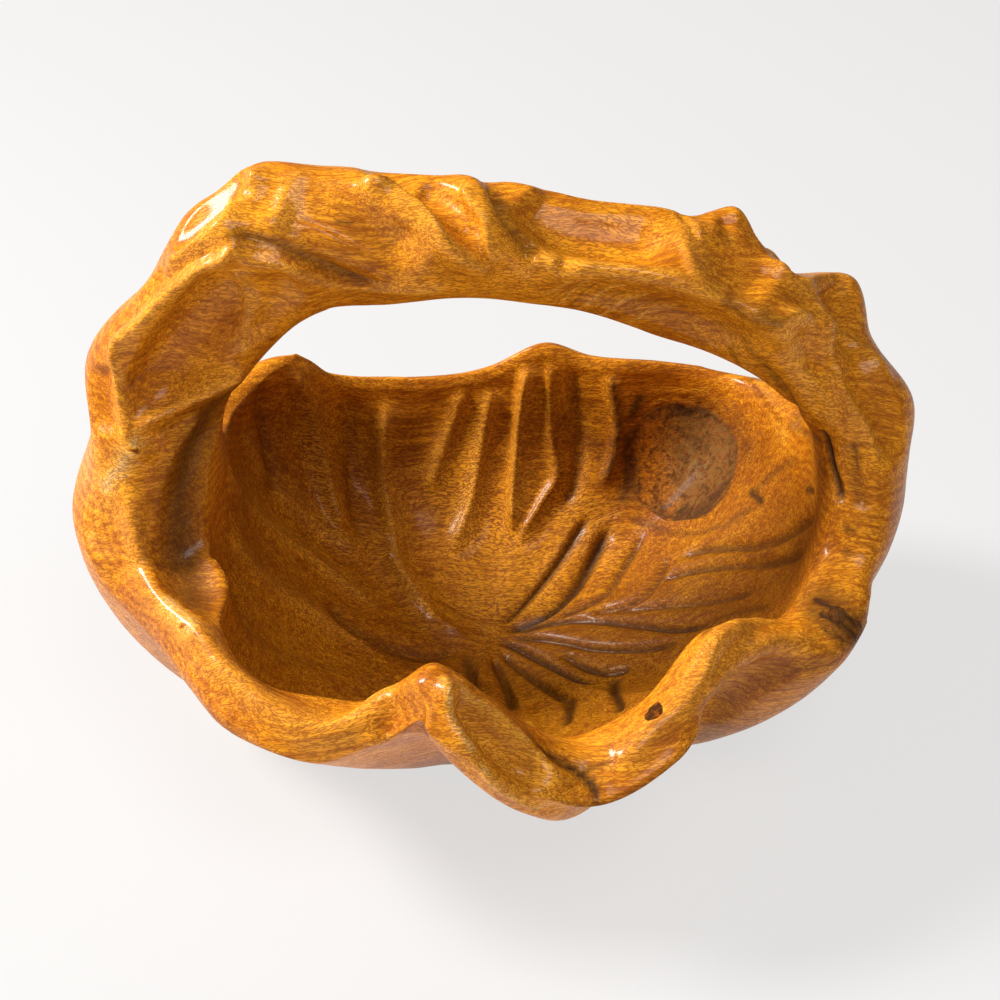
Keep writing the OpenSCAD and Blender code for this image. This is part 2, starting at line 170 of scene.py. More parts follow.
# Ridges (positive) and valleys (negative) along the handle: stations, angle, height, width
HANDLE_TWIST = [
    # ridge up the left limb, and the broad hollow panel beside it
    [(0.6, 24, 2, 30), (1.5, 34, 4, 28), (2.4, 46, 4, 26), (3.5, 44, 5, 24), (4, 34, 2, 22)],
    [(1.3, -10, 0, 40), (2.2, 0, -5, 36), (2.7, 2, -6, 34), (3.3, 2, -5, 30), (3.8, 0, 0, 26)],
    # outer corners of the left limb
    [(1.4, 84, 0, 30), (2, 84, 3, 26), (2.6, 90, 0, 30)],
    [(0.2, 90, 0, 40), (0.8, 90, -3, 38), (1.4, 88, -6, 34), (1.85, 86, 0, 28)],
    [(2.2, 100, 0, 28), (2.6, 104, -3, 26), (3, 108, 0, 26)],
    [(2.6, 116, 0, 30), (3.2, 116, 4, 30), (3.8, 112, 0, 28)],
    [(3.2, 112, 0, 30), (3.75, 112, 5, 28), (4.4, 100, 0, 26)],
    # crease under the top left facet
    [(3.7, 30, -1, 20), (4.1, 8, -4, 20), (4.6, -20, -4, 20), (5.3, -40, -2, 20)],
    # long ridge that leans over the front, and the valley above it
    [(4.2, 82, 0, 26), (4.6, 76, 3, 26), (5.25, 42, 4, 26), (5.75, 20, 4, 24), (6.2, 0, 3, 22)],
    [(4.5, 108, -2, 24), (5, 80, -4, 24), (5.5, 60, -3, 24), (6, 44, -1, 22)],
    # short ridge at the middle, and the hollow that follows it to the right
    [(5.4, 100, 2, 24), (5.8, 76, 4, 24), (6.2, 30, 4, 24), (6.6, 5, 2, 24)],
    [(5.6, 124, -2, 26), (6.1, 90, -4, 26), (6.6, 56, -5, 26), (7.9, 62, -4, 30), (8.3, 66, -1, 30)],
    # ridge along the right half, and the hollow under it
    [(6.3, 14, 3, 20), (6.6, 16, 4, 18), (8.3, 20, 3, 22),
     (9.2, 30, 4, 24), (9.9, 70, 3, 24), (10.3, 90, 1, 24)],
    [(6.5, -30, -2, 26), (7.4, -26, -3, 30), (8.5, -20, -3, 30), (9.2, -15, -1, 30)],
    # corners of the right limb, the shoulder behind it and the valley between
    [(7.95, 112, 0, 32), (8.5, 112, 7, 28), (9, 112, 0, 30)],
    [(10.4, 70, 1, 26), (11, 80, 3, 24), (11.5, 84, 1, 26)],
    [(9.4, 140, 0, 26), (9.9, 136, 8, 26), (10.3, 134, 16, 26), (10.65, 138, 5, 26), (11, 144, 0, 28)],
    [(9.6, 96, -1, 24), (10.2, 100, -5, 24), (10.8, 108, -2, 24)],
    # ridge and valley along the back
    [(1, 180, 1, 30), (2.5, 205, 3, 26), (4, 180, 3, 26),
     (6, 210, 3, 26), (8, 190, 3, 26), (9.5, 200, 1, 26)],
    [(1.5, 240, -1, 26), (3.5, 235, -3, 26), (5.5, 150, -3, 26), (7.5, 235, -3, 26), (9.5, 240, -1, 26)],
]
# Stations over which a ridge or a valley sets in, and its reach to each side in widths
STROKE_FADE = 0.55
STROKE_SPREAD = 1.7

# Mesh density, and the distance at which the bowl's and the handle's points are welded
COLUMNS = 576
FOOT_ROWS = 5
OUTER_ROWS = 44
RIM_ROWS = 18
INNER_ROWS = 90
SEAT_COLUMNS = 64
HANDLE_RINGS = 420
BORE_SIDES = 48
WELD = 0.02
# Rows below the lip over which the painted shade of the inside sets in
SHADE_ROWS = 16

# Regions of the carved skin, and the faces that are cut below it
OUTSIDE, RIM, INSIDE, HANDLE, BARK, KNOT, RIM_KNOT, PIT, CUT = range(9)
# Where a stroke may run: all but the inside, anywhere, or on what a camera opposite would see
SHELL = -1
ANY = -2
BEHIND = -3

# Carving: share of a stroke's length over which it sets in and runs out, how near to a crease its
# mark starts and how fast it deepens (dirt and painted shade in a cut, painted highlight and wear on a
# ridge), and how far the wood may turn away from a stroke
CREASE_ENDS = (0.1, 0.15)
HOLLOW_ENDS = (0.15, 0.25)
CREASE_MARK_EDGE = (0.35, 0.5)
TURNED_AWAY = (-0.1, 0.5)
# Places looked up along a stroke for each of its pixels, layers that a ray may meet, and the step
# in metres that takes it past one
STROKE_STEPS = 6
MOST_LAYERS = 12
RAY_STEP = 0.0005
# Waves that the tools leave everywhere: how many to the metre, and height
TOOL_WAVES = ((60, 0.2), (200, 0.05))
# Relief that is sanded, and the share of each step of smoothing
SANDED_FROM = 0.3
SOFTENING = 0.5
# Roots: reach above and below the seats, and rounds of smoothing, beyond a distance from the middle
ROOT_PASSES = ((24, 14), (14, 24), (8, 24))
ROOTS_FROM = 80
# Gap round the dowels and at their ends
DOWEL_GAP = 0.1

# Lights: name, place, size and power, then the point they face and the light from all round
LAMPS = (
    ("key", (-1.1, 0.1, 1.02), 0.4, 44.0),
    ("fill", (0.3, -0.8, 1.5), 0.7, 12.0),
)
LAMP_TARGET = Vector((0, 0, 0.1))
WORLD_LIGHT = 0.16
# The stage's own colour, and how much of it the camera sees as plain white with faint shadows
STAGE_SIZE = 4
STAGE_COLOUR = (0.9, 0.885, 0.87, 1)
STAGE_ROUGHNESS = 0.6
STAGE_WHITE = 0.85
STAGE_SHOWN = (0.81, 0.8, 0.79, 1)

# How pale the wood is along its ridges, below zero as for a pale mark: a painted highlight on the crests,
# with some wear
CREST_WEAR_AND_HIGHLIGHT = -0.22
# Gloss of the wood under the lacquer, roughness of the lacquer, and relief of the patterns
BARE_GLOSS = 0.12
COAT_ROUGHNESS = 0.15
BUMP = 0.4
WOOD_RELIEF = 0.0003
KNOT_RELIEF = 0.0016
RESIN_RELIEF = 0.0004
# Grain: how far it sways and the scale of that, then for pores, streaks and lines the factor along
# the grain that draws them out, and their scale
SWAY = (0.01, 0.022, 0.022)
SWAY_SCALE = 20.0
PORES = (0.22, 1200.0)
STREAKS = (0.06, 210.0)
LINES = (0.025, 760.0)
# Growth rings: offset of the pith, factors that draw them out along the grain, count and unevenness
PITH = (0.0, 0.05, 0.03)
RING_FACTORS = (0.1, 1.0, 1.0)
RING_COUNT = 1700.0
RING_SWAY = 16.0

# Cuts that the photograph shows: part of the skin, height (negative for a cut), width to the left
# and to the right of the way it runs, darkening (dirt, dark wood and painted shade along the cut), and
# the pixels it runs through. A crease is sharp along its middle. A hollow is a gouge's round cut with
# sharp edges, or a round bump, and has no darkening.
CREASES = [
    # back wall, from the left: edge of the lit lobe, the valley in it and the long curved ridge
    (INSIDE, 5, 16, 8, 0, [(284, 352), (303, 397), (312, 432), (322, 469), (332, 510), (345, 545)]),
    (INSIDE, -3, 9, 9, 0.3, [(268, 365), (262, 404), (267, 443), (269, 475), (275, 500)]),
    (INSIDE, -2, 8, 8, 0.2, [(352, 385), (350, 440), (352, 500), (364, 550)]),
    (INSIDE, 5, 16, 8, 0, [(388, 378), (384, 436), (382, 469), (386, 501), (391, 535), (395, 565),
                           (414, 597), (434, 625), (464, 638), (482, 641)]),
    # pillar at the middle of the back wall, with a sharp edge on its right
    (INSIDE, 2, 8, 8, 0, [(468, 372), (455, 416), (439, 459), (428, 495)]),
    (INSIDE, 3.4, 12, 9, 0, [(496, 360), (480, 450), (471, 501), (459, 535), (452, 560)]),
    (INSIDE, 5.2, 12, 4.5, 0, [(529, 346), (521, 404), (516, 459), (513, 505), (512, 540)]),
    (INSIDE, 3, 10, 4, 0.2, [(550, 352), (549, 402), (551, 443), (556, 475), (545, 495), (525, 528),
                             (515, 548)]),
    (INSIDE, -2, 6, 6, 0.4, [(572, 362), (574, 400), (579, 440), (575, 480), (560, 515)]),
    # edge of the dark wood beside the knot
    (INSIDE, 2.4, 9, 5, 0.5, [(607, 362), (612, 390), (617, 420), (615, 445), (608, 471), (600, 490)]),
    # grooves of the fan below the knot
    (INSIDE, -2.6, 5, 5, 0.7, [(500, 626), (520, 608), (540, 586), (562, 558), (580, 530), (592, 512)]),
    (INSIDE, -3.6, 5.5, 5.5, 0.9, [(500, 632), (520, 625), (549, 612), (575, 588), (592, 560), (606, 534),
                                   (612, 522)]),
    (INSIDE, -2.6, 5, 5, 0.7, [(552, 618), (580, 607), (606, 592), (622, 568), (637, 545), (645, 532)]),
    (INSIDE, -2.6, 5, 5, 0.7, [(590, 612), (620, 606), (644, 595), (660, 574), (668, 552)]),
    # grooves of the fan to the right
    (INSIDE, -3, 5, 5, 0.9, [(500, 634), (530, 626), (560, 620), (592, 619), (636, 624), (671, 628),
                             (700, 625), (722, 618)]),
    (INSIDE, -3, 5, 5, 0.8, [(502, 638), (530, 636), (560, 640), (589, 646), (627, 648), (662, 645),
                             (688, 638)]),
    (INSIDE, -2.6, 5, 5, 0.7, [(600, 611), (630, 608), (661, 605), (696, 602), (728, 597), (762, 587)]),
    (INSIDE, -2.6, 5, 5, 0.7, [(650, 586), (672, 575), (706, 568), (736, 565), (776, 562), (806, 552)]),
    (INSIDE, -2.6, 5, 5, 0.7, [(672, 560), (700, 550), (732, 547), (760, 545), (786, 536), (816, 516)]),
    # grooves of the fan to the front
    (INSIDE, -3, 5, 5, 0.9, [(497, 637), (514, 645), (535, 656), (558, 668), (582, 680), (600, 684)]),
    (INSIDE, -2.6, 5, 5, 0.7, [(500, 650), (512, 662), (530, 676), (557, 694), (572, 702)]),
    (INSIDE, -2.6, 5, 5, 0.7, [(493, 656), (500, 672), (508, 691), (514, 712)]),
    (INSIDE, -2.6, 6, 6, 0.8, [(470, 640), (468, 662), (476, 684), (489, 708)]),
    (INSIDE, -2.6, 5, 5, 0.8, [(560, 652), (580, 664), (600, 671), (616, 672), (636, 666)]),
    (INSIDE, -2.2, 5, 5, 0.9, [(613, 676), (616, 696), (622, 712)]),
    (INSIDE, -2.2, 5, 5, 0.8, [(570, 696), (569, 712), (565, 726)]),
    # sweeping ridges on the left of the floor
    (INSIDE, 2.4, 16, 10, 0, [(226, 480), (246, 505), (276, 535), (310, 558), (350, 590), (390, 615)]),
    (INSIDE, 2.4, 16, 10, 0, [(240, 430), (262, 470), (292, 505), (330, 535), (372, 560)]),
    (INSIDE, -2.4, 10, 10, 0.5, [(333, 599), (340, 620), (361, 636), (388, 648), (430, 655), (470, 645)]),
    (INSIDE, 2.4, 14, 9, 0, [(228, 540), (262, 580), (312, 613), (347, 634), (400, 660)]),
    # left limb: ridge from the top corner to the knotted one, down the limb and along the front rim
    (SHELL, 4, 9, 9, 0, [(262, 166), (253, 182), (240, 200), (226, 224), (200, 243), (178, 259), (160, 280)]),
    (SHELL, 4.5, 7, 6, 0, [(232, 232), (229, 253), (205, 265), (178, 283), (160, 300), (140, 325), (118, 345),
                           (116, 380), (121, 410), (126, 440), (124, 468)]),
    (SHELL, 4, 14, 12, 0, [(124, 468), (130, 497), (133, 533), (140, 565), (157, 594), (174, 611), (196, 633),
                           (215, 662), (239, 684), (261, 703), (293, 720), (327, 730), (358, 720), (382, 701),
                           (409, 688), (437, 672)]),
    # left limb: lower edge of the panel, thin ridge above it and soft ridge in it
    (SHELL, 4.5, 7, 7, 0, [(246, 369), (240, 371), (213, 386), (180, 405), (150, 419), (128, 436)]),
    (SHELL, 2.4, 5, 6, 0, [(230, 258), (267, 263), (295, 271), (324, 279), (358, 285), (418, 290),
                           (460, 288)]),
    (SHELL, 2.4, 8, 6, 0, [(238, 268), (242, 292), (248, 312), (246, 335), (244, 360)]),
    # inner face of the left limb: fold between its two flutes
    (SHELL, 2.6, 8, 8, 0, [(206, 415), (180, 447), (163, 485), (156, 525), (160, 560)]),
    # top left of the handle: crease under the facet, edge in the facet and the leaning ridge
    (SHELL, -3, 4, 6, 0.5, [(234, 230), (255, 238), (275, 243), (300, 254), (322, 264), (347, 276),
                            (380, 284)]),
    (SHELL, 1.4, 9, 9, 0, [(298, 170), (293, 195), (285, 226), (280, 238)]),
    (SHELL, 5.5, 6, 9, 0, [(358, 178), (381, 189), (400, 202), (427, 218), (447, 238), (462, 254), (482, 265),
                           (502, 274)]),
    # middle of the handle: short ridge, valley, bump and the long ridge to the right
    (SHELL, 4.6, 7, 5, 0, [(464, 186), (473, 203), (485, 219), (490, 242), (496, 268)]),
    (SHELL, -3.5, 6, 10, 0.4, [(494, 190), (510, 219), (528, 242), (541, 256)]),
    (SHELL, 3, 6, 6, 0, [(530, 262), (545, 260), (560, 266)]),
    (SHELL, 4, 7, 7, 0, [(554, 266), (590, 269), (641, 273), (688, 285), (738, 303), (768, 319), (794, 316),
                         (820, 319)]),
    (SHELL, 1.4, 14, 5, 0, [(688, 218), (686, 240), (689, 262), (695, 285)]),
    # right limb: edges of the grey facet, ridge along its back and the fibres at the root
    (SHELL, 4, 7, 7, 0, [(815, 318), (826, 328), (833, 360), (850, 400), (870, 432), (880, 470)]),
    (SHELL, 4.6, 6, 7, 0, [(764, 252), (788, 284), (814, 314), (836, 338), (868, 360), (898, 384)]),
    (SHELL, 2.2, 8, 8, 0, [(770, 322), (788, 345), (801, 368), (820, 392), (838, 420)]),
    (SHELL, -1.6, 5, 5, 0.5, [(748, 349), (768, 372), (786, 392), (798, 418), (806, 445)]),
    (SHELL, -2.2, 4, 4, 1, [(818, 428), (826, 440), (832, 467), (839, 490), (840, 505)]),
    (SHELL, -2, 6, 6, 0.4, [(853, 440), (855, 460), (858, 484), (867, 511)]),
    (SHELL, 2.6, 8, 8, 0, [(802, 284), (834, 279), (860, 286)]),
    # tongue: outer ridge, inner ridge, the dark crack beside it and the crease on the rim
    (SHELL, 5, 9, 6, 0, [(440, 672), (444, 685), (450, 708), (463, 737), (485, 769), (517, 793), (555, 804)]),
    (SHELL, 3.6, 7, 7, 0, [(449, 680), (476, 702), (508, 728), (538, 758), (556, 778), (568, 792)]),
    (SHELL, -1.8, 4, 4, 1, [(540, 748), (552, 758), (568, 765), (584, 776), (594, 788), (597, 802)]),
    (SHELL, -1.6, 3.5, 3.5, 0.6, [(571, 766), (597, 766), (622, 761)]),
    # crest of the right rim and the edge of the flute under it
    (SHELL, 3.4, 9, 9, 0, [(604, 772), (632, 752), (651, 731), (680, 706), (700, 680), (712, 650), (724, 634),
                           (752, 622), (785, 618)]),
    (SHELL, 3, 9, 8, 0, [(660, 727), (690, 706), (710, 686), (726, 669), (737, 658), (758, 645), (798, 643),
                         (826, 641)]),
    # far side of the handle: ridges that lean over it, guessed after the near side
    (BEHIND, 3.4, 7, 7, 0, [(205, 345), (232, 312), (270, 290), (320, 282), (370, 284)]),
    (BEHIND, 3.4, 7, 7, 0, [(318, 246), (360, 254), (410, 262), (460, 260), (510, 254)]),
    (BEHIND, 3.4, 7, 7, 0, [(500, 232), (530, 244), (570, 254), (620, 260), (680, 270)]),
    (BEHIND, 4, 8, 8, 0, [(670, 238), (700, 248), (740, 270), (778, 304), (802, 350), (818, 400),
                          (822, 450)]),
    (BEHIND, 3, 7, 7, 0, [(826, 300), (846, 334), (858, 372), (862, 420)]),
]
HOLLOWS = [
    # left limb: the two facets outside its ridge, the broad panel and the narrow one beside it
    (SHELL, -3.5, 7, 10, [(254, 176), (222, 205), (195, 232), (172, 262)]),
    (SHELL, -2, 5, 6, [(230, 238), (200, 253), (165, 280), (130, 311), (105, 338)]),
    (SHELL, -6.5, 19, 9, [(228, 268), (214, 290), (186, 325), (162, 360), (144, 396), (136, 414)]),
    (SHELL, -3.4, 10, 9, [(300, 278), (278, 292), (264, 318), (256, 347)]),
    (SHELL, -3, 9, 9, [(102, 362), (106, 400), (106, 440)]),
    # dark inner face of the left limb
    (SHELL, -4, 9, 16, [(240, 384), (222, 410), (204, 438), (192, 471), (187, 509), (187, 548), (194, 580),
                        (204, 610), (210, 636)]),
    # facets along the top of the handle
    (SHELL, -1.5, 4, 4, [(243, 249), (280, 256), (315, 268), (352, 281)]),
    (SHELL, -1.5, 7, 7, [(277, 180), (268, 218)]),
    (SHELL, -5.5, 15, 11, [(270, 208), (300, 212), (335, 226), (375, 244), (428, 268)]),
    (SHELL, -3, 8, 8, [(414, 192), (436, 204), (460, 226), (478, 252)]),
    (SHELL, -5, 14, 14, [(518, 196), (570, 222), (620, 234), (680, 243)]),
    (SHELL, -3.2, 8, 11, [(560, 286), (620, 295), (670, 306), (720, 327), (760, 352)]),
    (SHELL, -4, 15, 15, [(719, 210), (723, 225), (732, 250), (748, 280), (768, 304)]),
    # facets of the right limb and of the shoulder behind it
    (SHELL, -3, 7, 9, [(797, 328), (815, 370), (838, 412), (846, 430)]),
    (SHELL, -5, 11, 11, [(842, 356), (866, 390), (882, 425), (888, 470)]),
    (SHELL, -2.5, 8, 8, [(826, 286), (852, 314)]),
    # flute of the tongue, scoop beside it and flute under the right rim
    (SHELL, -6.5, 8, 8, [(452, 690), (480, 727), (510, 757), (548, 788)]),
    (SHELL, -4, 13, 13, [(378, 716), (405, 724), (428, 730)]),
    (SHELL, -5, 10, 10, [(692, 726), (735, 692), (780, 668), (840, 652)]),
    # strip that runs on along the outside of the left rim
    (SHELL, -3, 10, 10, [(96, 490), (108, 540), (125, 580), (150, 625), (190, 672), (240, 712), (310, 740)]),
    # far side of the handle
    (BEHIND, -4, 11, 11, [(150, 352), (178, 318), (215, 292), (262, 276)]),
    (BEHIND, -3.4, 9, 8, [(290, 244), (330, 258), (370, 262), (415, 256)]),
    (BEHIND, -4.4, 11, 11, [(420, 270), (470, 268), (530, 266), (600, 272)]),
    (BEHIND, -3.4, 9, 8, [(555, 228), (605, 238), (660, 246), (710, 266)]),
    (BEHIND, -5, 14, 12, [(715, 290), (756, 322), (782, 370), (790, 420)]),
    (BEHIND, -3.4, 8, 8, [(806, 290), (828, 320), (840, 360), (844, 410)]),
    # bumps of the knot on the left rim, of the one on the handle and of the one below the rim
    (SHELL, 3.4, 8, 8, [(129, 456), (134, 448), (139, 442)]),
    (SHELL, 3.4, 9, 9, [(690, 226), (706, 223), (724, 221)]),
    (SHELL, 2.6, 8, 8, [(172, 610), (179, 618), (186, 626)]),
]
# Marks on the wood: width, strength (negative for pale wood) and the pixels they run through. Some of them
# paint shade and highlights, as their groups say.
MARKS = [
    # cracks in the top left facet and at the right root, and small pits beside it
    (1.0, 0.9, [(336, 219), (352, 222)]),
    (1.2, 1, [(828, 439), (832, 467), (840, 494)]),
    (1.6, 0.7, [(853, 445), (857, 470)]),
    (2.2, 0.9, [(807, 489), (814, 491)]),
    (2.4, 0.7, [(846, 528), (852, 531)]),
    (2, 0.6, [(845, 551), (850, 553)]),
    # dirt along the right rim and dark streaks of the small knot in it
    (4, 0.5, [(706, 634), (713, 622), (740, 612), (766, 608)]),
    (13, 0.75, [(822, 600), (840, 616), (862, 636)]),
    (9, 0.7, [(814, 612), (834, 624), (852, 642)]),
    (3.6, 1.1, [(816, 600), (836, 610), (860, 626)]),
    (3.6, 1.1, [(822, 614), (840, 624), (858, 640)]),
    (2.6, 0.9, [(826, 630), (842, 640)]),
    # shade over the fan and in the left limb's corner
    (48, 0.42, [(490, 628), (540, 634), (600, 628), (660, 612), (700, 600)]),
    (5, 0.35, [(234, 233), (240, 240), (248, 238)]),
    # dark wood and dirt round the large knot
    (1.4, 1, [(613, 380), (617, 410), (616, 436), (609, 470)]),
    (5, 0.8, [(626, 436), (632, 468), (624, 497)]),
    (4, 0.9, [(640, 398), (632, 415)]),
    (3.4, 1, [(751, 491), (762, 502)]),
    (3, 0.5, [(636, 520), (680, 534), (722, 526), (752, 508)]),
    (7, 0.35, [(560, 420), (590, 440), (612, 470)]),
    (9, 0.35, [(700, 400), (735, 420), (748, 455)]),
    (5, 0.45, [(745, 562), (765, 556)]),
    # flame of pale and dark streaks under the middle of the handle
    (1.2, -0.6, [(548, 294), (566, 284), (590, 279)]),
    (0.8, 0.5, [(553, 298), (572, 288), (598, 281)]),
    (1.2, -0.7, [(560, 303), (580, 291), (606, 285)]),
    (0.8, 0.5, [(568, 306), (590, 294), (616, 288)]),
    (1.2, -0.7, [(578, 309), (602, 298), (626, 293)]),
    (0.8, 0.5, [(590, 312), (612, 302), (636, 297)]),
    (1.2, -0.6, [(600, 315), (622, 306), (646, 302)]),
    (0.8, 0.4, [(614, 318), (636, 310), (660, 307)]),
    (1.2, -0.5, [(628, 322), (650, 314), (674, 312)]),
    # crack beside the tongue, painted shade in the flute under the right rim, and a dark line under the
    # handle's ridge: dirt and painted shade in the fold
    (2.2, 1, [(526, 738), (546, 756), (566, 765), (584, 776), (594, 788), (597, 802)]),
    (9, 0.4, [(704, 736), (740, 702), (780, 680), (830, 662)]),
    (6, 0.5, [(730, 302), (750, 311), (774, 321)]),
    # fibres that sweep from the right root on to the wall
    (6, -0.25, [(736, 352), (752, 378), (770, 406), (784, 436)]),
    (3.5, 0.6, [(790, 424), (804, 432), (818, 437)]),
    (4, 0.5, [(760, 486), (776, 471), (796, 459)]),
    (2.2, 0.45, [(744, 342), (762, 366), (782, 390), (802, 412)]),
    (2.2, 0.45, [(730, 350), (746, 374), (764, 399), (782, 424)]),
    # worn wood on the knots of the left rim, with their dark hearts
    (7, -0.8, [(106, 486), (116, 474), (126, 458), (135, 444)]),
    (8, -0.8, [(168, 604), (178, 616), (188, 630)]),
    (2, 0.9, [(174, 612), (180, 620), (184, 628)]),
    (2, 0.9, [(131, 447), (136, 449)]),
    # growth rings cut across in the scoop and on the left end
    (1.0, 0.4, [(372, 716), (392, 728), (414, 734), (432, 732)]),
    (1.0, 0.4, [(378, 708), (396, 720), (416, 726), (434, 723)]),
    (1.0, 0.4, [(386, 702), (402, 712), (420, 717), (436, 713)]),
    (1.0, 0.35, [(396, 697), (410, 705), (424, 708), (438, 703)]),
    (1.2, 0.4, [(86, 492), (82, 520), (90, 556), (110, 582)]),
    (1.2, 0.4, [(95, 492), (91, 520), (98, 550), (114, 572)]),
    (1.2, 0.4, [(104, 494), (100, 520), (106, 544), (118, 562)]),
    (1.2, 0.35, [(113, 498), (109, 520), (114, 540), (122, 552)]),
    # pale wood on the tongue: some wear, painted light in its flute and painted highlights along its two
    # ridges
    (9, -0.25, [(455, 700), (480, 728), (510, 757), (540, 783)]),
    (2.4, -0.8, [(442, 680), (450, 708), (463, 737), (485, 769), (517, 793), (550, 803)]),
    (2.4, -0.6, [(452, 683), (476, 702), (508, 728), (540, 758), (556, 775)]),
    # painted shade on the inner face of the left limb
    (16, 0.85, [(226, 402), (202, 440), (188, 480), (184, 520), (186, 560), (196, 596)]),
    (9, 0.3, [(238, 384), (205, 404), (170, 425)]),
]
# Knots and fillings that stop in the skin: pixel of the middle, part of the skin, radius in millimetres
# and how wavy the outline is. The bark comes first, and the knot lies in it.
PLUGS = {
    BARK: ((686, 461), INSIDE, 25.5, 0.05),
    KNOT: ((686, 461), INSIDE, 22.5, 0.07),
    RIM_KNOT: ((838, 615), SHELL, 5.0, 0.1),
    PIT: ((654, 712), SHELL, 3.6, 0.16),
}
# Size of the pattern in a knot, and depth of each pocket
KNOT_SIZE = {BARK: 25.5, KNOT: 25.5, RIM_KNOT: 3.4}
PLUG_DEPTH = {BARK: 2.5, KNOT: 2.5, RIM_KNOT: 4.0, PIT: 3.0}


def unit(x):
    return np.clip(x, 0, 1)


def smooth(t):
    return t * t * (3 - 2 * t)


def ease(x):
    return smooth(unit(x))


def mix(a, b, t):
    return a + (b - a) * t


def through(stations, x):
    """Smooth curve through stations whose first entry is the place along it."""
    stations = np.asarray(stations, float)
    place = stations[:, 0]
    x = np.asarray(x, float)
    count = len(place)
    low = np.maximum(np.arange(count) - 1, 0)
    high = np.minimum(np.arange(count) + 1, count - 1)
    slope = (stations[high] - stations[low]) / (place[high] - place[low])[:, None]
    i = np.clip(np.searchsorted(place, x, side="right") - 1, 0, count - 2)
    span = (place[i + 1] - place[i])[..., None]
    t = unit((x - place[i]) / (place[i + 1] - place[i]))[..., None]
    bend = t * (1 - t) * span * ((1 - t) * slope[i] - t * slope[i + 1])
    return mix(stations[i], stations[i + 1], smooth(t)) + bend


def turn_apart(a, b):
    d = np.abs(a - b) % 360
    return np.minimum(d, 360 - d)


def rim(angle):
    """Crest radius and height, widths inwards and outwards, and 1 away from the seats or 0 on them."""
    a = (np.asarray(angle, float) - RIGHT_SEAT) % 360 + RIGHT_SEAT
    out = np.zeros(a.shape + (5,))
    for stations in (BACK_RIM, FRONT_RIM):
        first, last = stations[0, 0], stations[-1, 0]
        here = (a >= first) & (a <= last)
        v = through(stations, a)
        v[..., 0] = ease(np.minimum(a - first, last - a) / SEAT_BLEND)
        out[here] = np.roll(v, -1, axis=-1)[here]
    seats = (
        (LEFT_SEAT, BACK_RIM[-1], FRONT_RIM[0], LEFT_SEAT_W, LEFT_SEAT_W),
        (RIGHT_SEAT, FRONT_RIM[-1], BACK_RIM[0], RIGHT_SEAT_W - RIGHT_SEAT_CUT, RIGHT_SEAT_W),
    )
    for start, before, after, inwards, outwards in seats:
        here = (a >= start) & (a <= start + SEAT_TURN)
        t = unit((a - start) / SEAT_TURN)
        bulge = np.sin(np.pi * t)
        v = np.stack([
            mix(before[1], after[1], smooth(t)),
            np.full_like(t, SEAT_Z),
            mix(mix(before[3], after[3], t), inwards, bulge),
            mix(mix(before[4], after[4], t), outwards, bulge),
            np.zeros_like(t),
        ], -1)
        out[here] = v[here]
    return out


def tongue(a, t):
    """Reach of the thick fold of wood that leans from the front peak to the dip beside it."""
    line = mix(*TONGUE_TURNS, unit(2 * t - 1))
    start = ease((t - TONGUE_START[0]) / TONGUE_START[1])
    thin = TONGUE_LOSS * ease((t - TONGUE_END[0]) / TONGUE_END[1])
    return TONGUE_REACH * start * (1 - thin) * np.exp(-((turn_apart(a, line) / TONGUE_WIDTH) ** 2))


def wall(t, roundness):
    """Shares of the way outwards and upwards at a place on a wall."""
    turn = math.pi / 2 * t
    return mix(t, math.sin(turn), roundness), mix(t, 1 - math.cos(turn), roundness)


def belly(t, bias):
    """Swells from 0 to 1 and back along a wall."""
    return math.sin(math.pi * t ** bias)


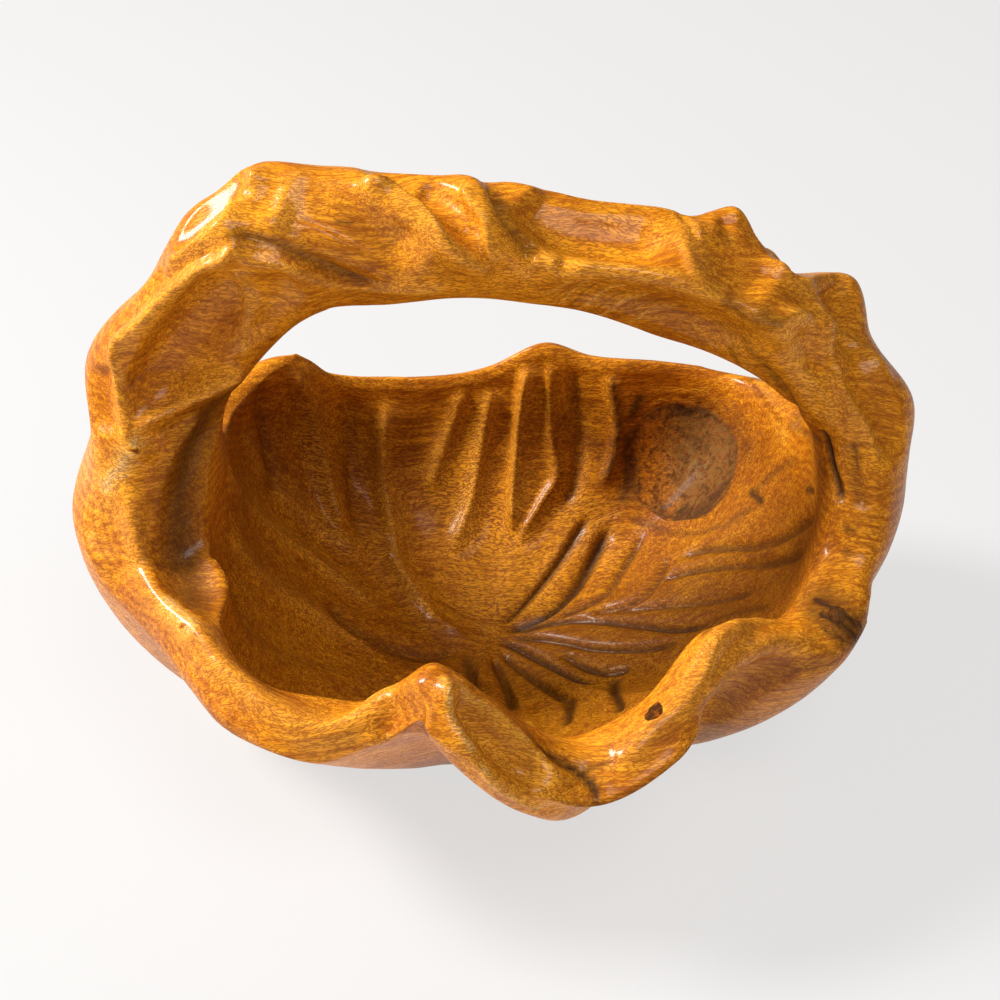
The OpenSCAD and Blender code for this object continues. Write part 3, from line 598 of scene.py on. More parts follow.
def bowl_skin(sizes):
    """Grid of points, row by row, from the middle of the foot up the outside and down the inside."""
    a = np.linspace(0, 360, COLUMNS + 1)
    rad = np.radians(a)
    out = np.stack([np.cos(rad), np.sin(rad), np.zeros_like(a)], -1)
    v = rim(a)
    front = np.maximum(0, -np.sin(rad)) ** 2
    steep = np.maximum(0, -np.sin(rad)) ** FRONT_STEEP
    back = np.maximum(0, np.sin(rad))
    right = np.maximum(0, np.cos(rad)) ** 2
    outer_round = mix(mix(OUTER_ROUND["side"], OUTER_ROUND["back"], back), OUTER_ROUND["front"], steep)
    inner_round = mix(mix(INNER_ROUND["left"], INNER_ROUND["right"], right), INNER_ROUND["front"], front)
    middle = np.array([0, -RIM_LEAD, 0])
    up = np.array([0, 0, 1])
    crest = middle + out * v[:, :1] + up * v[:, 1:2]
    outer = crest + out * (v[:, 3] + tongue(a, 1.0))[:, None] - up * (SHOULDER_DROP * v[:, 4:])
    inner = crest - out * v[:, 2:3] - up * (LIP_DROP * v[:, 4:])
    reach = FOOT[0] * FOOT[1] / np.hypot(FOOT[1] * np.cos(rad), FOOT[0] * np.sin(rad))
    foot = out * reach[:, None]
    rows = [foot * j / FOOT_ROWS for j in range(FOOT_ROWS)]
    deep = sizes.hollow_depth / MM * (1 - HOLLOW_LOSS_BEHIND * back)
    wave = np.abs(np.cos(np.radians(HOLLOW_COUNT * (a - HOLLOW_TURN) / 2)))
    for j in range(OUTER_ROWS):
        t = j / OUTER_ROWS
        share, rise = wall(t, outer_round)
        hollow = deep * belly(t, HOLLOW_BIAS) * wave
        swell = BACK_SWELL * back * belly(t, SWELL_BIAS) + tongue(a, t)
        flat = mix(foot, outer * [1, 1, 0], share[:, None])
        rows.append(flat + up * (outer[:, 2] * rise)[:, None] + out * (swell - hollow)[:, None])
    for j in range(RIM_ROWS + 1):
        off = 2 * j / RIM_ROWS - 1
        edge = outer if off < 0 else inner
        row = mix(crest, edge, abs(off))
        row[:, 2] = mix(crest[:, 2], edge[:, 2], abs(off) ** CREST_BEND)
        rows.append(row)
    away = inner - BOWL_FLOOR
    away[:, 2] = 0
    away = away / np.linalg.norm(away, axis=1)[:, None]
    wave = np.abs(np.sin(np.radians(FLUTE_COUNT * a / 2)))
    for j in range(1, INNER_ROWS + 1):
        t = 1 - j / INNER_ROWS
        share, rise = wall(t, inner_round)
        flute = sizes.flute_depth / MM * belly(1 - t, FLUTE_BIAS) * front * ease(t / HUB) * wave
        row = mix(BOWL_FLOOR, inner, share[:, None])
        row[:, 2] = mix(BOWL_FLOOR[2], inner[:, 2], rise)
        lean = away * math.sin(math.pi / 2 * t) - up * math.cos(math.pi / 2 * t)
        rows.append(row + lean * flute[:, None])
    return np.array(rows)


def seat_outline(start, front_first):
    """Ring round a seat: from the middle of its front end outwards, back, inwards and to the front."""
    half = RIM_ROWS // 2
    steps = np.arange(SEAT_COLUMNS + 1) / SEAT_COLUMNS
    ahead = start + SEAT_TURN * (steps if front_first else 1 - steps)
    front, back = ahead[0], ahead[-1]
    turns = np.concatenate([
        np.full(half, front), ahead[:-1], np.full(RIM_ROWS, back), ahead[:0:-1], np.full(half, front),
    ])
    across = np.concatenate([
        np.arange(half) / half,
        np.ones(SEAT_COLUMNS),
        1 - np.arange(RIM_ROWS) / half,
        -np.ones(SEAT_COLUMNS),
        -1 + np.arange(half) / half,
    ])
    v = rim(turns)
    radius = v[:, 0] + across * np.where(across < 0, v[:, 2], v[:, 3])
    rad = np.radians(turns)
    return np.stack([radius * np.cos(rad), radius * np.sin(rad) - RIM_LEAD, np.full_like(radius, SEAT_Z)], -1)


def ring_angles():
    """Angle round the bar of each outline point: 0 at the front, 90 outwards."""
    half = RIM_ROWS // 2
    end = SEAT_END_TURN / RIM_ROWS
    side = (180 - SEAT_END_TURN) / SEAT_COLUMNS
    return np.concatenate([
        end * np.arange(half),
        SEAT_END_TURN / 2 + side * np.arange(SEAT_COLUMNS),
        180 - SEAT_END_TURN / 2 + end * np.arange(RIM_ROWS),
        180 + SEAT_END_TURN / 2 + side * np.arange(SEAT_COLUMNS),
        360 - SEAT_END_TURN / 2 + end * np.arange(half),
    ])


def twist(s, angles):
    """Height of the handle's ridges and valleys at a station, for each angle round the bar."""
    height = np.zeros_like(angles)
    for path in HANDLE_TWIST:
        first, last = path[0][0], path[-1][0]
        if not first <= s <= last:
            continue
        v = through(path, s)
        fade = unit((s - first) / STROKE_FADE) * unit((last - s) / STROKE_FADE)
        far = ease(turn_apart(angles, v[1]) / (STROKE_SPREAD * v[3]))
        height = height + v[2] * smooth(fade) * (1 - far)
    return height


def handle_skin():
    """Grid of points, ring by ring, from the left seat over the top to the right seat."""
    left = seat_outline(LEFT_SEAT, False)
    right = seat_outline(RIGHT_SEAT, True)
    left_middle, right_middle = left.mean(0), right.mean(0)
    count = len(HANDLE_LINE) + 1
    bar = [[0, *left_middle, LEFT_SEAT_W, LEFT_SEAT_W, SEAT_REACH, SEAT_REACH]]
    for k, h in enumerate(HANDLE_LINE):
        bar.append([k + 1, h[0], h[1] - RIM_LEAD, SEAT_Z + HANDLE_RISE * h[2], *h[3:]])
    bar.append([count, *right_middle, RIGHT_SEAT_W, RIGHT_SEAT_W - RIGHT_SEAT_CUT, SEAT_REACH, SEAT_REACH])
    angles = ring_angles()
    cos, sin = np.cos(np.radians(angles)), np.sin(np.radians(angles))
    rings = []
    for s in np.linspace(0, count, HANDLE_RINGS):
        b = through(bar, s)
        next_, last = min(s + STATION_STEP, count), max(s - STATION_STEP, 0)
        ahead = through(bar, next_)[1:4] - through(bar, last)[1:4]
        ahead = ahead / np.linalg.norm(ahead)
        front = np.array([0, -1, 0]) + ahead * ahead[1]
        front = front / np.linalg.norm(front)
        out = np.cross(front, ahead)
        h = twist(s, angles)
        f = np.where(cos > 0, b[6], b[7])
        o = np.where(sin > 0, b[4], b[5])
        ring = b[1:4] + front * (cos * (f + h))[:, None] + out * (sin * (o + h))[:, None]
        seat, middle = (left, left_middle) if s < count / 2 else (right, right_middle)
        near = s if s < count / 2 else count - s
        share = 1 - (1 - unit(near / ROOT_LENGTH)) ** ROOT_FLARE
        ring = mix(b[1:4] + seat - middle, ring, share)
        rings.append(np.concatenate([ring, ring[:1]]))
    return np.array(rings)


def camera_place():
    """Where the photograph was taken from, in millimetres."""
    back = Vector((0, -math.cos(VIEW_RISE), math.sin(VIEW_RISE)))
    return VIEW_TARGET + back * VIEW_DISTANCE


def pixel_ray(pixel):
    """Direction from the camera through a pixel of the photograph."""
    x = (pixel[0] - VIEW_PIXELS / 2) / VIEW_FOCAL
    y = (VIEW_PIXELS / 2 - pixel[1]) / VIEW_FOCAL
    ahead = Vector((0, math.cos(VIEW_RISE), -math.sin(VIEW_RISE)))
    up = Vector((0, math.sin(VIEW_RISE), math.cos(VIEW_RISE)))
    return (ahead + Vector((x, 0, 0)) + up * y).normalized()


def on_skin(tree, regions, pixel, part):
    """Place and normal on a part of the skin behind a pixel, or None. The inside is also found
    behind other parts, and the far side is seen by a camera that is turned half round."""
    origin = camera_place() * MM
    ray = pixel_ray(pixel)
    if part == BEHIND:
        half_turn = Matrix.Rotation(math.pi, 3, "Z")
        origin = VIEW_TARGET * MM + half_turn @ (origin - VIEW_TARGET * MM)
        ray = half_turn @ ray
    for _ in range(MOST_LAYERS):
        place, normal, index, _distance = tree.ray_cast(origin, ray)
        if place is None:
            return None
        inside = regions[index] == INSIDE
        if part in (ANY, BEHIND) or inside == (part == INSIDE):
            return [*place, *normal]
        if part == SHELL:
            return None
        origin = place + ray * RAY_STEP
    return None


def stroke_path(tree, regions, pixels, part):
    """Points and normals on the skin along a stroke."""
    spots = np.array([[k, *p] for k, p in enumerate(pixels)], float)
    places = np.linspace(0, len(pixels) - 1, STROKE_STEPS * len(pixels))
    found = [on_skin(tree, regions, p[1:], part) for p in through(spots, places)]
    path = np.array([p for p in found if p is not None])
    if len(path) < 2:
        raise ValueError(f"a stroke misses the skin: {pixels}")
    return path


def stroke_reach(points, normals, path, left, right):
    """How near each point lies to a stroke, from 1 on it to 0 beside it, and its place along it."""
    best = np.full(len(points), np.inf)
    along, side, faced = np.zeros((3, len(points)))
    spots, facing = path[:, :3], path[:, 3:]
    length = np.concatenate([[0], np.cumsum(np.linalg.norm(np.diff(spots, axis=0), axis=1))])
    for k in range(len(path) - 1):
        step = spots[k + 1] - spots[k]
        run = step @ step
        if run < 1e-12:
            continue
        t = unit((points - spots[k]) @ step / run)
        off = points - spots[k] - t[:, None] * step
        d = np.linalg.norm(off, axis=1)
        closer = d < best
        best = np.where(closer, d, best)
        along = np.where(closer, mix(length[k], length[k + 1], t), along)
        side = np.where(closer, off @ np.cross(step, facing[k]), side)
        faced = np.where(closer, normals @ facing[k], faced)
    width = np.where(side > 0, right, left) * MM
    near = unit(1 - best / width) * ease((faced - TURNED_AWAY[0]) / TURNED_AWAY[1])
    return near, along / length[-1]


def set_in(share, ends):
    """0 at both ends of a stroke and 1 along the rest of it."""
    return ease(share / ends[0]) * ease((1 - share) / ends[1])


def soften(bm, verts):
    bmesh.ops.smooth_vert(
        bm, verts=verts, factor=SOFTENING, use_axis_x=True, use_axis_y=True, use_axis_z=True,
    )


def carve(bm):
    """Cuts the creases, hollows and marks into the skin, and keeps their darkening and paling in a layer:
    dirt, wear and grain, with painted shade and painted highlights among them.
    """
    bm.normal_update()
    bm.faces.ensure_lookup_table()
    tree = BVHTree.FromBMesh(bm)
    layer = bm.faces.layers.int["region"]
    regions = [f[layer] for f in bm.faces]
    points = np.array([v.co for v in bm.verts])
    normals = np.array([v.normal for v in bm.verts])
    raised, cut, marks_and_painted_light = np.zeros((3, len(points)))

    def reach(part, left, right, pixels):
        path = stroke_path(tree, regions, pixels, part)
        wide = max(left, right) * MM
        low, high = path[:, :3].min(0) - wide, path[:, :3].max(0) + wide
        here = np.nonzero(np.all((points > low) & (points < high), axis=1))[0]
        return here, *stroke_reach(points[here], normals[here], path, left, right)

    def press(here, rise):
        raised[here] = np.maximum(raised[here], rise)
        cut[here] = np.minimum(cut[here], rise)

    def dye(here, mark):
        marks_and_painted_light[here] = np.where(np.abs(mark) > np.abs(marks_and_painted_light[here]), mark, marks_and_painted_light[here])

    for part, height, left, right, dark, pixels in CREASES:
        here, near, share = reach(part, left, right, pixels)
        whole = set_in(share, CREASE_ENDS)
        press(here, height * MM * whole * near ** 2)
        # a raised crease gets pale wood on its crest, a painted highlight with some wear; a cut one darkens
        # with dirt and painted shade
        crest_wear_and_highlight = CREST_WEAR_AND_HIGHLIGHT if height > 0 else 0
        dye(here, (dark or crest_wear_and_highlight) * whole * unit((near - CREASE_MARK_EDGE[0]) / CREASE_MARK_EDGE[1]))
    for part, height, left, right, pixels in HOLLOWS:
        here, near, share = reach(part, left, right, pixels)
        form = near * (2 - near) if height < 0 else smooth(near)
        press(here, height * MM * set_in(share, HOLLOW_ENDS) * form)
    for width, strength, pixels in MARKS:
        here, near, _share = reach(ANY, width, width, pixels)
        dye(here, strength * smooth(near))
    relief = raised + cut
    kept = bm.verts.layers.float["marks_and_painted_light"]
    for v, up, dark in zip(bm.verts, relief, marks_and_painted_light):
        wave = sum(noise.noise(v.co * often) * high for often, high in TOOL_WAVES)
        v.co += v.normal * (float(up) + wave * MM)
        v[kept] = dark
    # a light sanding takes the teeth off the crests
    soften(bm, [v for v, up in zip(bm.verts, relief) if abs(up) > SANDED_FROM * MM])


def add_grid(bm, skin, tags, shade):
    """Adds a sheet of points, row by row, as a grid, with a region and an inside shade for each row."""
    rows, columns = skin.shape[:2]
    made = bmesh.ops.create_grid(bm, x_segments=columns - 1, y_segments=rows - 1, size=1)
    region = bm.faces.layers.int["region"]
    inside = bm.verts.layers.float["inside"]
    row = {}
    for k, (v, p) in enumerate(zip(made["verts"], skin.reshape(-1, 3))):
        v.co = p * MM
        row[v] = k // columns
        v[inside] = shade[row[v]]
    faces = list(dict.fromkeys(f for v in made["verts"] for f in v.link_faces))
    for f in faces:
        f[region] = tags[min(row[v] for v in f.verts)]
    return made["verts"], faces


def carved_skin(sizes):
    """The whole carved wood as one closed skin, bowl and handle together."""
    bm = bmesh.new()
    bm.faces.layers.int.new("region")
    bm.verts.layers.float.new("inside")
    # layer of the marks: dirt, wear and grain, with painted shade and painted highlights among them
    bm.verts.layers.float.new("marks_and_painted_light")
    bm.verts.layers.float_vector.new("facing")
    rim_start = FOOT_ROWS + OUTER_ROWS
    inner_start = rim_start + RIM_ROWS
    tags = [OUTSIDE] * rim_start + [RIM] * RIM_ROWS + [INSIDE] * INNER_ROWS
    shade = ease((np.arange(inner_start + INNER_ROWS + 1) - inner_start) / SHADE_ROWS)
    verts, faces = add_grid(bm, bowl_skin(sizes), tags, shade)
    place = {v: divmod(k, COLUMNS + 1) for k, v in enumerate(verts)}
    seat = []
    for f in faces:
        row = min(place[v][0] for v in f.verts)
        angle = 360 * min(place[v][1] for v in f.verts) / COLUMNS
        if rim_start <= row < inner_start:
            if any((angle - start) % 360 < SEAT_TURN - 0.01 for start in (LEFT_SEAT, RIGHT_SEAT)):
                seat.append(f)
    bmesh.ops.delete(bm, geom=seat, context="FACES")
    add_grid(bm, handle_skin(), [HANDLE] * HANDLE_RINGS, [0.0] * HANDLE_RINGS)
    bmesh.ops.remove_doubles(bm, verts=bm.verts, dist=WELD * MM)
    bmesh.ops.recalc_face_normals(bm, faces=bm.faces)
    soften_roots(bm)
    carve(bm)
    bm.normal_update()
    for tag, plug in PLUGS.items():
        mark_plug(bm, tag, *plug)
    bm.normal_update()
    facing = bm.verts.layers.float_vector["facing"]
    for v in bm.verts:
        v[facing] = v.normal
    return bm


CARVED = {}


def the_skin(scene):
    """The carved skin, made once for all the pieces that are cut from it."""
    sizes = scene.bowl_sizes
    key = (sizes.hollow_depth, sizes.flute_depth)
    if key not in CARVED:
        CARVED[key] = carved_skin(sizes)
    return CARVED[key]


def soften_roots(bm):
    """Runs the handle's roots smoothly into the rim, and the right one into the inside too."""
    layer = bm.faces.layers.int["region"]
    for reach, rounds in ROOT_PASSES:
        near = []
        for v in bm.verts:
            high = v.co.z / MM - SEAT_Z
            if abs(v.co.x) < ROOTS_FROM * MM or abs(high) > reach:
                continue
            if v.co.x < 0 and high < 0 and any(f[layer] == INSIDE for f in v.link_faces):
                continue
            near.append(v)
        for _ in range(rounds):
            soften(bm, near)


def mark_plug(bm, tag, pixel, part, radius, waves):
    """Gives the faces of a knot or a filling their own region, with a smooth wavy outline."""
    bm.faces.ensure_lookup_table()
    region = bm.faces.layers.int["region"]
    regions = [INSIDE if f[region] in (BARK, KNOT) else f[region] for f in bm.faces]
    spot = on_skin(BVHTree.FromBMesh(bm), regions, pixel, part)
    if spot is None:
        raise ValueError(f"a knot misses the skin: {pixel}")
    middle, normal = Vector(spot[:3]), Vector(spot[3:])
    side = normal.cross(Vector((0, 0, 1))).normalized()
    up = side.cross(normal)

    def polar(place):
        x, y = (place - middle).dot(side), (place - middle).dot(up)
        turn = math.atan2(y, x)
        wave = math.sin(2 * turn + 1) + 0.7 * math.sin(3 * turn + 0.5 + tag) + 0.4 * math.sin(7 * turn)
        return math.hypot(x, y), radius * MM * (1 + waves * wave)

    chosen = set()
    for f in bm.faces:
        place = f.calc_center_median()
        if (place - middle).length > 2 * radius * MM or f.normal.dot(normal) < 0.2:
            continue
        far, edge = polar(place)
        if far < edge:
            chosen.add(f)
    for f in chosen:
        f[region] = tag
    border = {v for f in chosen for v in f.verts if any(g not in chosen for g in v.link_faces)}
    for v in border:
        far, edge = polar(v.co)
        flat = v.co - middle
        flat -= normal * flat.dot(normal)
        v.co += flat * (edge / far - 1)


def skin_part(skin, tags):
    """Copy of the faces of some regions of the carved skin."""
    part = skin.copy()
    region = part.faces.layers.int["region"]
    bmesh.ops.delete(part, geom=[f for f in part.faces if f[region] not in tags], context="FACES")
    return part


def bore_seats(part, below):
    """Closes both seats with a face round the hole for its dowel, and the hole itself."""
    region = part.faces.layers.int["region"]
    for node in ("left_dowel", "right_dowel"):
        low, high = (Vector(corner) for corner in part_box(node))
        middle = (low + high) / 2
        end = low.z - DOWEL_GAP * MM if below else high.z + DOWEL_GAP * MM
        loop = [e for e in part.edges if e.is_boundary and e.verts[0].co.x * middle.x > 0]
        radius = (high.x - low.x) / 2 + DOWEL_GAP * MM
        place = Matrix.Translation((middle.x, middle.y, SEAT_Z * MM))
        ring = bmesh.ops.create_circle(part, segments=BORE_SIDES, radius=radius, matrix=place)["verts"]
        edges = list(dict.fromkeys(e for v in ring for e in v.link_edges))
        made = bmesh.ops.bridge_loops(part, edges=loop + edges)["faces"]
        sunk = bmesh.ops.extrude_edge_only(part, edges=edges)["geom"]
        moved = [g for g in sunk if isinstance(g, bmesh.types.BMVert)]
        bmesh.ops.translate(part, verts=moved, vec=(0, 0, end - SEAT_Z * MM))
        bmesh.ops.contextual_create(part, geom=[g for g in sunk if isinstance(g, bmesh.types.BMEdge)])
        for f in {*made, *(f for v in moved for f in v.link_faces)}:
            f[region] = CUT
    bmesh.ops.recalc_face_normals(part, faces=part.faces)


def push_in(part, faces, depth, keep):
    """Pushes faces into the wood, with walls round them. Keep leaves the outer ones in place."""
    region = part.faces.layers.int["region"]
    way = sum((f.normal for f in faces), Vector()).normalized()
    made = bmesh.ops.extrude_face_region(part, geom=faces, use_keep_orig=keep)["geom"]
    moved = [g for g in made if isinstance(g, bmesh.types.BMVert)]
    bmesh.ops.translate(part, verts=moved, vec=way * -depth * MM)
    if not keep:
        bmesh.ops.delete(part, geom=[f for f in faces if f.is_valid], context="FACES")
    for f in {f for v in moved for f in v.link_faces}:
        f[region] = CUT
    bmesh.ops.recalc_face_normals(part, faces=part.faces)


def sink_pockets(part):
    """Cuts the pocket for each knot or filling into the bowl."""
    region = part.faces.layers.int["region"]
    for tags in ((BARK, KNOT), (RIM_KNOT,), (PIT,)):
        faces = [f for f in part.faces if f[region] in tags]
        push_in(part, faces, PLUG_DEPTH[tags[0]], False)


def mesh_of(name, bm):
    mesh = bpy.data.meshes.new(name)
    bm.to_mesh(mesh)
    bm.free()
    return mesh


def add_object(name, data):
    thing = bpy.data.objects.new(name, data)
    bpy.context.scene.collection.objects.link(thing)
    return thing


def read(items, field, size=1, kind=int):
    """One field of all items as an array, with a row for each item where it has several numbers."""
    values = np.zeros(len(items) * size, kind)
    items.foreach_get(field, values)
    return values if size == 1 else values.reshape(-1, size)


def new_piece(name, bm, slot, *nodes):
    """Object at the origin that rides on the body and stands for nodes of the CAD part. Its skin
    keeps the normals of the whole block, so that the joints don't show."""
    mesh = mesh_of(name, bm)
    mesh.polygons.foreach_set("use_smooth", np.ones(len(mesh.polygons), bool))
    facing = read(mesh.attributes["facing"].data, "vector", 3, float)[read(mesh.loops, "vertex_index")]
    sides = read(mesh.polygons, "loop_total")
    flat = np.repeat(read(mesh.polygons, "normal", 3, float), sides, axis=0)
    cut = np.repeat(read(mesh.attributes["region"].data, "value") == CUT, sides)
    mesh.normals_split_custom_set(np.where(cut[:, None], flat, facing))
    piece = add_object(name, mesh)
    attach(piece, "root")
    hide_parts(*nodes)
    return piece


def math_node(operation, swapped=False):
    """Operator or method of a value that adds a math node."""

    def add(self, *others):
        values = (*others, self) if swapped else (self, *others)
        return self.maker.node("ShaderNodeMath", *values, settings={"operation": operation})

    return add


class Value:
    """A number, vector or colour socket that takes part in Python expressions."""

    def __init__(self, maker, socket):
        self.maker = maker
        self.socket = socket

    __add__ = __radd__ = math_node("ADD")
    __sub__ = math_node("SUBTRACT")
    __rsub__ = math_node("SUBTRACT", swapped=True)
    __mul__ = __rmul__ = math_node("MULTIPLY")
    __truediv__ = math_node("DIVIDE")
    __pow__ = math_node("POWER")
    __abs__ = math_node("ABSOLUTE")
    sine = math_node("SINE")
    at_least = math_node("MAXIMUM")
    at_most = math_node("MINIMUM")

    def clamp(self):
        return self.at_least(0.0).at_most(1.0)

    def step(self, low, high):
        """0 below low and 1 above high, smooth between."""
        values = {"Value": self, "From Min": low, "From Max": high, "To Min": 0.0, "To Max": 1.0}
        settings = {"interpolation_type": "SMOOTHSTEP"}
        return self.maker.node("ShaderNodeMapRange", output="Result", settings=settings, **values)


class Finish:
    """Builds one node material."""

    def __init__(self, name):
        self.material = bpy.data.materials.new(name)
        self.material.use_nodes = True
        self.tree = self.material.node_tree
        self.shader = self.tree.nodes["Principled BSDF"]

    def put(self, socket, value):
        if isinstance(value, Value):
            self.tree.links.new(value.socket, socket)
        elif isinstance(value, Color):
            socket.default_value = (*value, 1.0)
        else:
            socket.default_value = value

    def set(self, name, value):
        self.put(self.shader.inputs[name], value)

    def node(self, kind, *values, output=0, settings=None, **named):
        """Adds a node, sets it up, then gives its sockets values or links."""
        node = self.tree.nodes.new(kind)
        for key, value in (settings or {}).items():
            setattr(node, key, value)
        for socket, value in zip(node.inputs, values):
            self.put(socket, value)
        for key, value in named.items():
            self.put(node.inputs[key], value)
        return Value(self, node.outputs[output])

    def ramp(self, place, *stops):
        """Colour at a place along a row of stops."""
        node = self.tree.nodes.new("ShaderNodeValToRGB")
        elements = node.color_ramp.elements
        while len(elements) < len(stops):
            elements.new(0.5)
        for element, (position, colour) in zip(elements, stops):
            element.position = position
            element.color = (*colour, 1.0)
        self.put(node.inputs["Fac"], place)
        return Value(self, node.outputs["Color"])

    def mixed(self, first, second, share, blend="MIX"):
        """Colour between two colours."""
        node = self.tree.nodes.new("ShaderNodeMix")
        node.data_type = "RGBA"
        node.blend_type = blend
        self.put(node.inputs["Factor"], share)
        self.put(node.inputs[6], first)
        self.put(node.inputs[7], second)
        return Value(self, node.outputs[2])

    def attribute(self, name):
        return self.node("ShaderNodeAttribute", output="Fac", settings={"attribute_name": name})

    def vector(self, operation, *values, output=0):
        return self.node("ShaderNodeVectorMath", *values, output=output, settings={"operation": operation})

    def length(self, value):
        return self.vector("LENGTH", value, output="Value")

    def across(self, value):
        return self.node("ShaderNodeSeparateXYZ", value, output="X")

    def noise(self, place, scale, detail=2.0, roughness=0.5, distortion=0.0):
        values = {"Vector": place, "Scale": scale, "Detail": detail}
        return self.node("ShaderNodeTexNoise", Roughness=roughness, Distortion=distortion, **values)

    def lacquer(self, weight, height, depth):
        """Clear smooth coat over wood that has the pattern's relief."""
        self.set("Normal", self.node("ShaderNodeBump", Strength=BUMP, Distance=depth, Height=height))
        self.set("Specular IOR Level", BARE_GLOSS)
        self.set("Coat Weight", weight)
        self.set("Coat Roughness", COAT_ROUGHNESS)


class Grain:
    """Patterns of the block of wood that every piece is cut from, as values for one finish."""

    def __init__(self, f):
        self.coords = f.node("ShaderNodeTexCoord", output="Object")
        sway = f.node("ShaderNodeTexNoise", output="Color", Vector=self.coords, Scale=SWAY_SCALE, Detail=1.0)
        sway = f.vector("SUBTRACT", sway, (0.5, 0.5, 0.5))
        bent = f.vector("MULTIPLY_ADD", sway, SWAY, self.coords)

        def along(stretch, scale, detail, roughness):
            """Noise drawn out along the grain."""
            return f.noise(f.vector("MULTIPLY", bent, (stretch, 1.0, 1.0)), scale, detail, roughness)

        # short dark pores, with clouds where they crowd together
        self.crowd = f.noise(self.coords, 48.0, 2.0)
        pores = along(*PORES, 1.0, 0.5) - 0.5 + (self.crowd - 0.5) * 0.05
        self.pores = 1.0 - abs(pores).step(0.025, 0.1)
        # long streaks and thin lines
        self.streak = along(*STREAKS, 3.0, 0.6)
        self.line = along(*LINES, 2.0, 0.6)
        # growth rings round a pith that runs from side to side under the bowl
        pith = f.vector("MULTIPLY", f.vector("ADD", bent, PITH), RING_FACTORS)
        self.rings = (f.length(pith) * RING_COUNT + f.noise(self.coords, 30.0, 3.0) * RING_SWAY).sine()
        self.cloud = f.noise(self.coords, 24.0, 3.0, 0.55)
        # end grain, where the surface faces along the block
        self.end = abs(f.across(f.node("ShaderNodeNewGeometry", output="Normal"))) ** 2.0


def wood_colour(f, g, looks, tone_shift=0.0):
    """Colour of the wood, with its pores, its stains, the painted shade and painted highlights among its
    marks, and the painted shade of the inside.
    """
    inside = f.attribute("inside")
    marks_and_painted_light = f.attribute("marks_and_painted_light")
    tone = 0.62 + tone_shift + (g.cloud - 0.5) * 1.1 + (g.streak - 0.5) * 0.8 + (g.line - 0.5) * 1.2
    tone = tone + g.rings * (0.03 + g.end * (1.0 - inside) * 0.1) - g.end * 0.08
    colour = f.ramp(tone, (0.1, looks.dark_wood), (0.45, looks.amber_wood), (0.85, looks.golden_wood))
    # pale marks: wear and flame streaks, and painted highlights on the crests and the tongue
    colour = f.mixed(colour, looks.pale_wood_and_highlight, (marks_and_painted_light * -0.9).clamp())
    # where hands wear the wood bare, its grain breaks up the patch
    bare = (marks_and_painted_light * -2.5 - 1.4 + (g.line - 0.5) * 4.0 + (g.crowd - 0.5) * 2.0).clamp()
    colour = f.mixed(colour, looks.worn_wood, bare * 0.7)
    colour = f.mixed(colour, looks.pore, g.pores * (0.4 + g.crowd * 0.35 + inside * 0.15))
    # dark marks: dirt and resin, and painted shade where the marks stand for shade
    colour = f.mixed(colour, looks.marks_and_painted_light, (marks_and_painted_light * (0.65 + g.cloud * 0.6)).clamp())
    # painted shade over the hollow, setting in below the lip
    return f.mixed(colour, looks.hollow_painted_shade, inside * 0.6, "MULTIPLY")


def wood_finish(name, looks, tone_shift=0.0):
    """Lacquered hardwood whose grain runs from side to side through the whole block."""
    f = Finish(name)
    g = Grain(f)
    f.set("Base Color", wood_colour(f, g, looks, tone_shift))
    f.set("Roughness", (0.34 + g.pores * 0.2 + g.crowd * 0.14).clamp())
    height = g.pores * -1.0 + g.line * 0.6 + g.streak * 1.2
    f.lacquer(looks.lacquer * (1.0 - f.attribute("inside") * 0.7), height, WOOD_RELIEF)
    return f.material


def knot_finish(name, looks, middle, size):
    """Knot wood that runs out into the wood round it: rust red on one side, grey on the other, with
    dark curls and a dark ragged border."""
    f = Finish(name)
    g = Grain(f)
    place = f.vector("SUBTRACT", g.coords, tuple(middle))
    far = f.length(place) / size
    curl = f.noise(g.coords, 120.0, 4.0, 0.65, 1.6)
    mottle = f.noise(g.coords, 75.0, 4.0, 0.7, 0.8)
    speck = f.noise(g.coords, 620.0, 3.0, 0.7)
    ragged = far + (curl - 0.5) * 0.5 + (g.crowd - 0.5) * 0.7
    # the two sides and the pale middle
    rust = (mottle - 0.5) * 2.6 - f.across(place) / size * 1.9 + 0.2
    colour = f.mixed(looks.knot_grey, looks.knot_rust, rust.clamp())
    pale = (1.0 - far * 1.9).clamp() * mottle.step(0.4, 0.62)
    colour = f.mixed(colour, looks.knot_pale, pale * 0.8)
    # pores, curls, the border and the dirt
    colour = f.mixed(colour, looks.pore, (g.pores * 0.5 + speck.step(0.45, 0.65) * 0.5).clamp())
    border = ragged.step(0.65, 0.95) * (1.0 - ragged.step(1.0, 1.2))
    curls = (curl * 0.6 + speck * 0.4).step(0.44, 0.62) * 0.7
    for dark in (curls, border * (0.3 + g.cloud), (f.attribute("marks_and_painted_light") * 0.8).clamp()):
        colour = f.mixed(colour, looks.marks_and_painted_light, dark)
    outside = (ragged.step(0.95, 1.1) + far.step(0.9, 1.0)).clamp()
    f.set("Base Color", f.mixed(colour, wood_colour(f, g, looks), outside))
    f.set("Roughness", (0.6 + curl * 0.3).clamp())
    f.lacquer(looks.lacquer * 0.1, mottle - speck, KNOT_RELIEF)
    return f.material


